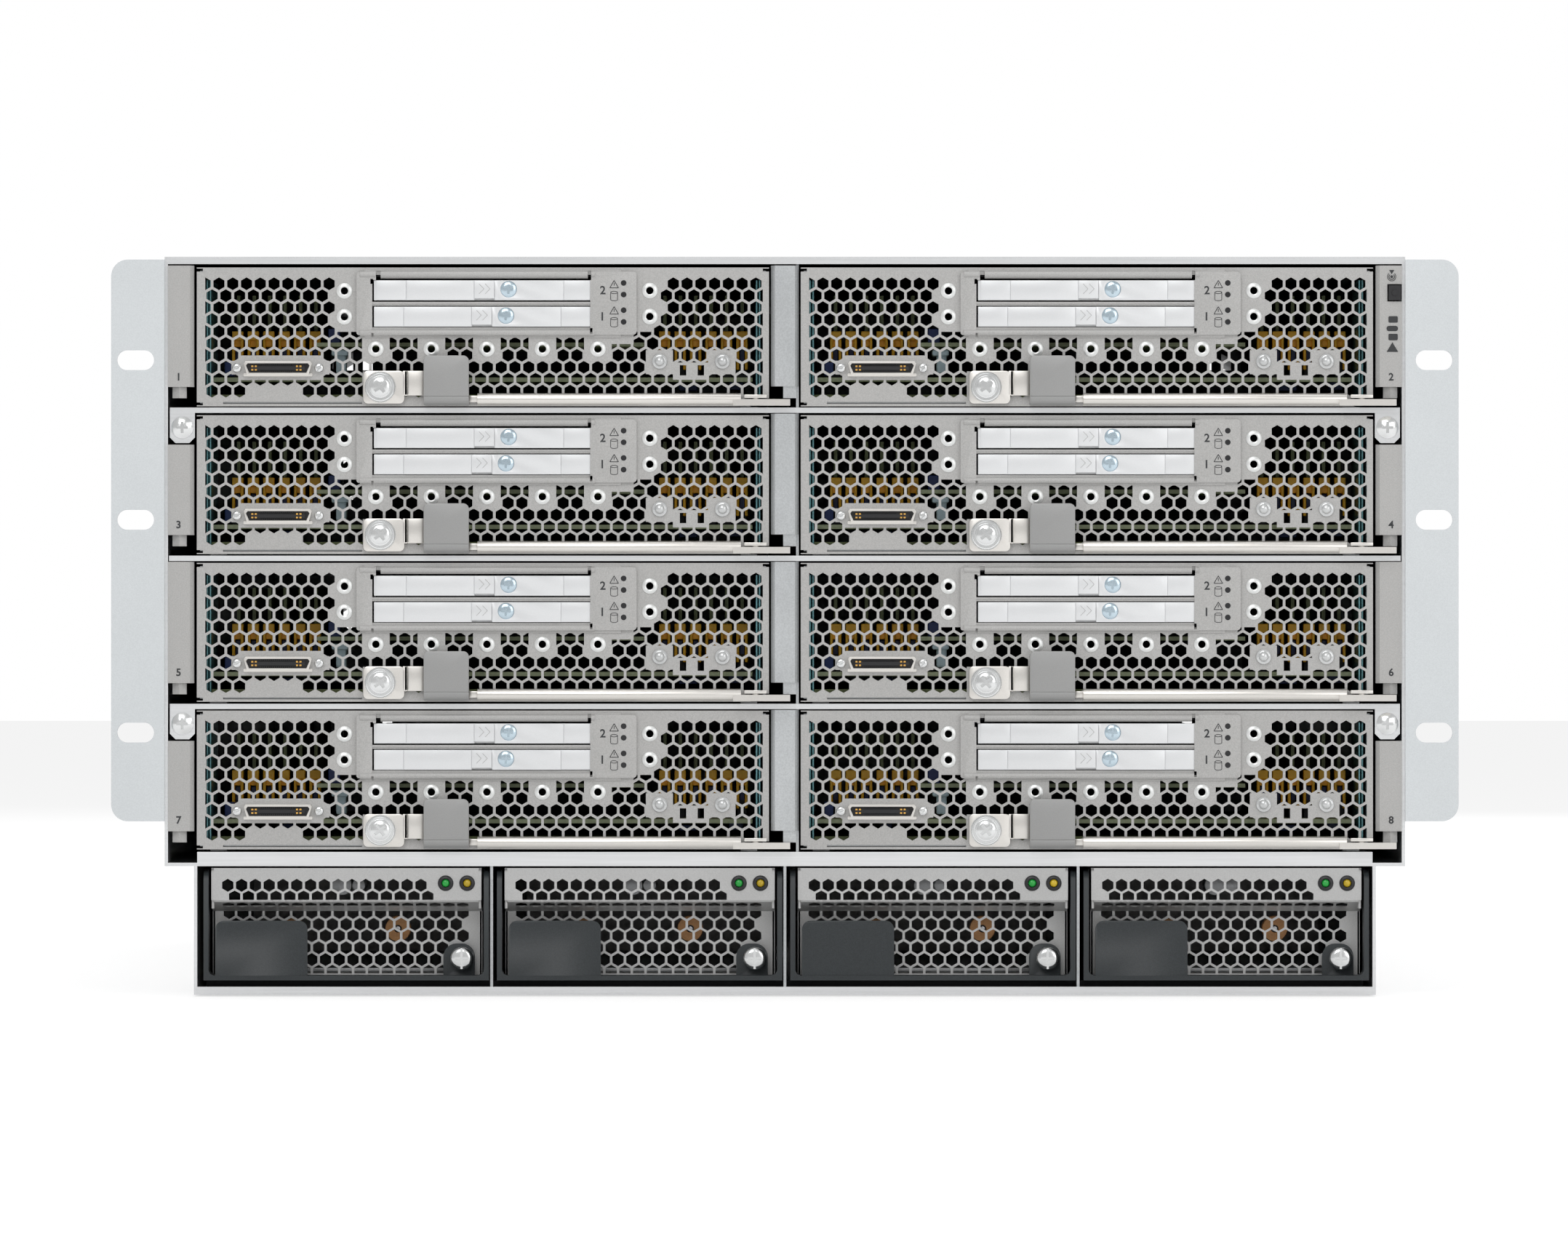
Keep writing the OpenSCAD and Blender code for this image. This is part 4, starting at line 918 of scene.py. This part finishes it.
def bladeOrigin(n, inward=True):
    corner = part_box(f"blade_{n}_case")[0] - Vector((1.1, 2, 1.1)) * mm
    corner.x += (bladePlaces["inward"] if n % 2 else -bladePlaces["inward"]) * mm * inward
    corner.z = (bladePlaces["lowest"] + bladePlaces["pitch"] * (3 - (n - 1) // 2)) * mm
    return corner


fromSheet = ("faceplate", "rings", "lamps", "connectorShell", "connectorInsert", "connectorContacts", "jackScrews")
for n in range(1, 9):
    origin = bladeOrigin(n)
    for name, (mesh, finishName, slotName, stands) in bladeMeshes.items():
        spot = bladeOrigin(n, False) if name == "leverBracket" else origin.copy()
        if name in fromSheet:
            spot.x += blade["features"] * mm
        putPiece(f"blade{n}_{name}", mesh, finishName, f"blade_{n}", spot, [f"blade_{n}_{s}" for s in stands])
    for name, (mesh, finishName, slotName, stands) in leverMeshes.items():
        putPiece(f"blade{n}_{name}", mesh, finishName, f"lever_{n}", bladeOrigin(n, False),
                 [f"blade_{n}_{s}" for s in stands])

driveShift = {1: 0.0, 2: 0.95}
sledPitch = 9.45
driveMeshes = {}
for k in (1, 2):
    s = driveShift[k]
    driveMeshes[k] = {
        "sled": (sledMesh(s), "sledSilver", "drive_carrier", True),
        "rails": (sledRailsMesh(), "moduleSheet", "drive_carrier", False),
        "drive": (driveMesh(), "moduleSheet", "drive_carrier", False),
        "screw": (sledScrewMesh(s), "blueZinc", "nickel", False),
        "chevrons": (chevronMesh(s), "psuSheet", "drive_carrier", False),
    }
for n in range(1, 9):
    for k in (1, 2):
        origin = bladeOrigin(n) + Vector((0, 0, sledPitch * (k - 1))) * mm
        for name, (mesh, finishName, slotName, stands) in driveMeshes[k].items():
            putPiece(f"blade{n}_drive{k}_{name}", mesh, finishName, f"drive_{n}_{k}", origin,
                     [f"blade_{n}_drive_{k}"] if stands else ())
print("blades are placed")


# Power supplies, from the left lower front corner of each

psu = {
    "left": 2.75, "right": 99.5, "top": 40.2, "recess": 12.0, "width": 102.2, "armWidth": 1.8,
    "pitch": 4.943, "flat": 4.05, "rows": (24.0, 19.77, 15.65, 11.35, 7.1, 2.9),
    "screw": (92.3, 7.7), "lampZ": 34.8, "discs": ((69.1, 18.1), (31.3, 17.3)), "aside": 0.5,
}
psuLamps = (("Good", 86.7, "lampGreen"), ("Fault", 94.4, "lampAmber"))


def psuFaceMesh():
    # upper face, the fold back below it, the recessed lower grille and the sides
    s = psu
    top, back = s["top"], s["recess"]
    outline = [(0, top), (0, 28.7), (0.4, 28.1), (back - 0.4, 24.9), (back, 24.5), (back, 1.0), (30, 1.0),
               (30, 2.0), (back + 1, 2.0), (back + 1, 25.4), (back + 0.2, 25.9), (1, 29.1), (1, top - 1),
               (30, top - 1), (30, top)]
    bm = bmesh.new()
    pushed(bm, [(s["left"], y, z) for y, z in outline], (s["right"] - s["left"], 0, 0))
    bmesh.ops.recalc_face_normals(bm, faces=bm.faces)
    cutter = bmesh.new()
    half = s["pitch"] / 2
    for k in range(15):
        hexPrism(cutter, 8.65 + s["pitch"] * k, 34.05, s["flat"], -1, 3)
        hexPrism(cutter, 11.1 + s["pitch"] * k, 30.0, s["flat"], -1, 3, 0.92)
    for k in range(18):                             # holes along the fold
        hexPrism(cutter, 8.65 + s["pitch"] * k, 26.95, s["flat"], -1, 12, 0.36)
    for row, z in enumerate(s["rows"]):
        for k in range(18):
            x = 8.6 + s["pitch"] * k + half * (row % 2)
            if x > (93.2 if z > 12 else 85.5):
                continue
            hexPrism(cutter, x, z, s["flat"], s["recess"] - 1, 3)
    block = bmesh.new()
    addBox(block, (0, s["recess"] - 2, 24.6), (102, 20, 30))
    addBox(block, (0, s["recess"] - 2, -3), (102, 20, 2.1))
    holes = settle(cutter, "psuHoles", cutter=joined(block), overlapping=False)
    cutter = bmesh.new()
    cutter.from_mesh(holes)
    for x in (s["left"], s["right"]):               # relief notches at the folds
        for z in (28.2, s["top"] - 0.6):
            addBox(cutter, (x - 0.9, -1, z - 0.5), (x + 0.9, 2, z + 0.5))
    for _, x, _ in psuLamps:
        addRod(cutter, (x, -1, s["lampZ"]), (x, 3, s["lampZ"]), 1.6, 20)
    return settle(bm, "psuFace", bevel=0.15, segments=1, cutter=cutter, overlapping=False)


def psuBodyMesh():
    s = psu
    bm = bmesh.new()
    for x in (s["left"], s["right"] - 1):
        addPlate(bm, [(x, 1), (x + 1, 1), (x + 1, s["top"] - 0.3), (x, s["top"] - 0.3)], s["recess"], 18)
        addPlate(bm, [(x, 25.6), (x + 1, 25.6), (x + 1, s["top"] - 0.3), (x, s["top"] - 0.3)], 1, 11.2)
    shell = bmesh.new()
    addBox(shell, (2.4, 29, 0.6), (99.8, 319.5, s["top"] - 0.6))
    hollow = bmesh.new()
    addBox(hollow, (3.4, 20, 1.6), (98.8, 318.5, s["top"] - 1.6))
    shellMesh = settle(shell, "psuShell", cutter=hollow, overlapping=False)
    bm.from_mesh(shellMesh)
    return settle(bm, "psuBody", bevel=0.2, segments=1)


def psuInsideMesh():
    bm = bmesh.new()
    for x, radius in ((48.2, 3.6), (54.3, 2.4)):    # capacitors lying behind the upper holes
        addRod(bm, (x, 34, 33.3), (x, 62, 33.3), radius, 28)
    for x, z in psu["discs"]:
        addRod(bm, (x, 15.1, z), (x, 24, z), 0.95, 16)
    addBox(bm, (5, 30, 2.2), (97, 150, 3.6))
    return softShade(settle(bm, "psuInside", bevel=0.3), 40)


def psuDiscsMesh():
    bm = bmesh.new()
    for x, z in psu["discs"]:
        addTurned(bm, (x, 0, z), [(1.4, 17), (1.4, 15.6), (4.4, 15.6), (4.6, 15.9), (4.6, 22), (1.4, 22)], 36)
    return softShade(settle(bm, "psuDiscs"), 40)


def lampRingsMesh():
    bm = bmesh.new()
    profile = [(1.55, 1.6), (1.55, -0.5), (1.9, -0.75), (2.5, -0.6), (2.8, -0.2), (2.8, 0.05), (1.6, 0.05), (1.6, 1.6)]
    for _, x, _ in psuLamps:
        addTurned(bm, (x, 0, psu["lampZ"]), profile, 32)
    return softShade(settle(bm, "lampRings"), 40)


def lampLensMesh(x):
    bm = bmesh.new()
    profile = [(0.001, -0.6), (0.8, -0.5), (1.3, -0.15), (1.5, 0.4), (1.5, 2), (0.001, 2)]
    addTurned(bm, (x, 0, psu["lampZ"]), profile, 24)
    return softShade(settle(bm, "lens"), 50)


def psuHandleMesh():
    # two arms, the bar along the foot, the wide tab and the screw's round bracket
    s = psu
    bm = bmesh.new()
    for x in (0.0, s["width"] - s["armWidth"]):
        arm = [(-1, 0), (11, 0), (11, 6), (10.5, 33), (9, 38.6), (5.5, 39.6), (1, 38.6), (-1, 36)]
        pushed(bm, [(x, y, z) for y, z in arm], (s["armWidth"], 0, 0))
    bmesh.ops.recalc_face_normals(bm, faces=bm.faces)
    addBox(bm, (0, -1, 0), (s["width"], 11, 1.7))
    for x, turn in ((1.7, 1), (100.5, -1)):         # fillets where the arms meet the bar
        fillet = [(x, 1.6), (x + turn * 2.2, 1.6), (x + turn * 0.7, 2.3), (x, 3.8)]
        addPlate(bm, fillet[::turn], -1, 12)
    solid = joined(bm)
    tab = bmesh.new()
    addPlate(tab, roundedOutline((4.2, -3), (37.2, 21.35), 3.0), -0.6, 1.6)
    addPlate(tab, roundedOutline((85.7, -6), (97.0, 13.0), 4.6), 6.4, 1.6)
    trim = bmesh.new()
    addBox(trim, (0, -5, -9), (103, 20, 0.2))
    plates = settle(tab, "plates", cutter=trim, overlapping=False)
    bm = bmesh.new()
    bm.from_mesh(solid)
    bm.from_mesh(plates)
    return softShade(settle(bm, "psuHandle", bevel=0.45, segments=3), 40)


def psuScrewMesh():
    x, z = psu["screw"]
    bm = bmesh.new()
    addTurned(bm, (x, 0, z), [(0.001, 2.4), (2.6, 2.5), (3.7, 3.0), (4.15, 3.9), (4.15, 6.4), (0.001, 6.4)], 40)
    addRod(bm, (x, 6.3, z), (x, 11, z), 2.2, 20)
    cutter = bmesh.new()
    crossRecess(cutter, (x, z), 4.4, 0.95, 1, 2.6, 0)
    addBox(cutter, (x - 0.4, 1, z - 5), (x + 0.4, 3.1, z + 5))
    return softShade(settle(bm, "psuScrew", cutter=joined(cutter)), 40)


psuMeshes = {
    "face": (psuFaceMesh(), "psuSheet", "psu_metal", True),
    "body": (psuBodyMesh(), "psuSheet", "psu_metal", False),
    "inside": (psuInsideMesh(), "moduleSheet", "psu_metal", False),
    "discs": (psuDiscsMesh(), "coilBrown", "psu_metal", False),
    "lampRings": (lampRingsMesh(), "blackMould", "black_plastic", False),
}
for which, x, finishName in psuLamps:
    psuMeshes["lamp" + which] = (lampLensMesh(x), finishName, "nickel", False)
handleMeshes = {
    "handle": (psuHandleMesh(), "slatePaint", "slate_paint", True),
    "screw": (psuScrewMesh(), "screwSteel", "nickel", False),
}
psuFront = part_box("psu_1_handle")[0].y + 1.0 * mm    # the handles' bars stand 1 mm before the faces
for n in range(1, 5):
    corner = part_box(f"psu_{n}_handle")[0]
    origin = Vector((corner.x + psu["aside"] * mm, psuFront, corner.z))
    groups = ((psuMeshes, f"psu_{n}", f"psu_{n}"), (handleMeshes, f"psu_handle_{n}", f"psu_{n}_handle"))
    for meshes, body, node in groups:
        for name, (mesh, finishName, slotName, stands) in meshes.items():
            putPiece(f"psu{n}_{name}", mesh, finishName, body, origin, [node] if stands else ())
print("power supplies are placed")



def floorStripMesh():
    # painted shadow: a dark strip standing for the shade on the chassis floor under the power supplies' fronts
    bm = bmesh.new()
    addBox(bm, (-208, 14.6, 2.5), (208, 15.6, 4.85))
    return settle(bm, "paintedShadowStrip", bevel=0.2)


putPiece("paintedShadowStrip", floorStripMesh(), "blackAndPaintedShade", "chassis", Vector((0, psuFront, 0)))


# Plain numbers and icons beside the bays

marks = {
    "numberX": 217.2, "numberHeight": 2.6, "aboveFoot": 10.4, "windowX": 217.9, "iconX": 217.6,
    "windows": (241.9, 235.6), "wave": 238.65, "warning": 230.3, "beacon": (217.4, 257.2),
}


def plateMarksMesh():
    # slot numbers, and on the top right-hand plate a beacon, two windows, a wave and a triangle
    s = marks
    bm = bmesh.new()
    for n in range(1, 9):
        side = -1 if n % 2 else 1
        foot = bladePlaces["lowest"] + bladePlaces["pitch"] * (3 - (n - 1) // 2)
        withMesh(bm, numberMesh(str(n), s["numberHeight"]), (side * s["numberX"], 0, foot + s["aboveFoot"]))
    shapes = [(s["windowX"], z, 3.3, 2.3, 0.4) for z in s["windows"]] + [(s["iconX"], s["wave"], 4.1, 1.9, 0.9)]
    for x, z, w, h, radius in shapes:
        addPlate(bm, roundedOutline((x - w / 2, z - h / 2), (x + w / 2, z + h / 2), radius), -0.1, 0.3)
    addPlate(bm, [(215.6, s["warning"]), (219.7, s["warning"]), (217.65, s["warning"] + 3.4)], -0.1, 0.3)
    x, z = s["beacon"]
    addPlate(bm, [(x - 0.9, z + 2.4), (x, z + 0.9), (x + 0.9, z + 2.4)], -0.1, 0.3)
    addRod(bm, (x, -0.1, z), (x, 0.2, z), 0.5, 20)
    for inner, outer in ((0.85, 1.1), (1.4, 1.6)):      # arcs of the beacon
        for k in range(24):
            a, b = radians(130 + 280 * k / 24), radians(130 + 280 * (k + 1) / 24)
            corners = ((inner, a), (outer, a), (outer, b), (inner, b))
            addPlate(bm, [(x + q * cos(t), z + q * sin(t)) for q, t in corners], -0.1, 0.3)
    mesh = bpy.data.meshes.new("plateMarks")
    bm.to_mesh(mesh)
    bm.free()
    return mesh


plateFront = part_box("slot_plates")[0].y - 0.08 * mm
putPiece("slotNumbers", plateMarksMesh(), "ink", "chassis", Vector((0, plateFront, 0)))
print("plates are marked")


# CAD nodes that keep their shape

cadFinish = {
    "chassis_shell": "brightZinc", "top_cover": "brightZinc", "rack_ears": "earPaint", "shelves": "brightZinc",
    "dividers": "zincPost", "slot_plates": "facePaint", "chassis_screws": "screwSteel", "midplane": "boardOlive",
    "fan_modules": "blackMould", "io_modules": "moduleSheet", "power_inlets": "blackMould",
    "locator_button": "blackMould",
}
for name, finishName in cadFinish.items():
    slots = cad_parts[name].data.materials
    if len(slots):
        for i in range(len(slots)):
            slots[i] = finish[finishName]
    else:
        slots.append(finish[finishName])
print("chassis finishes are assigned")
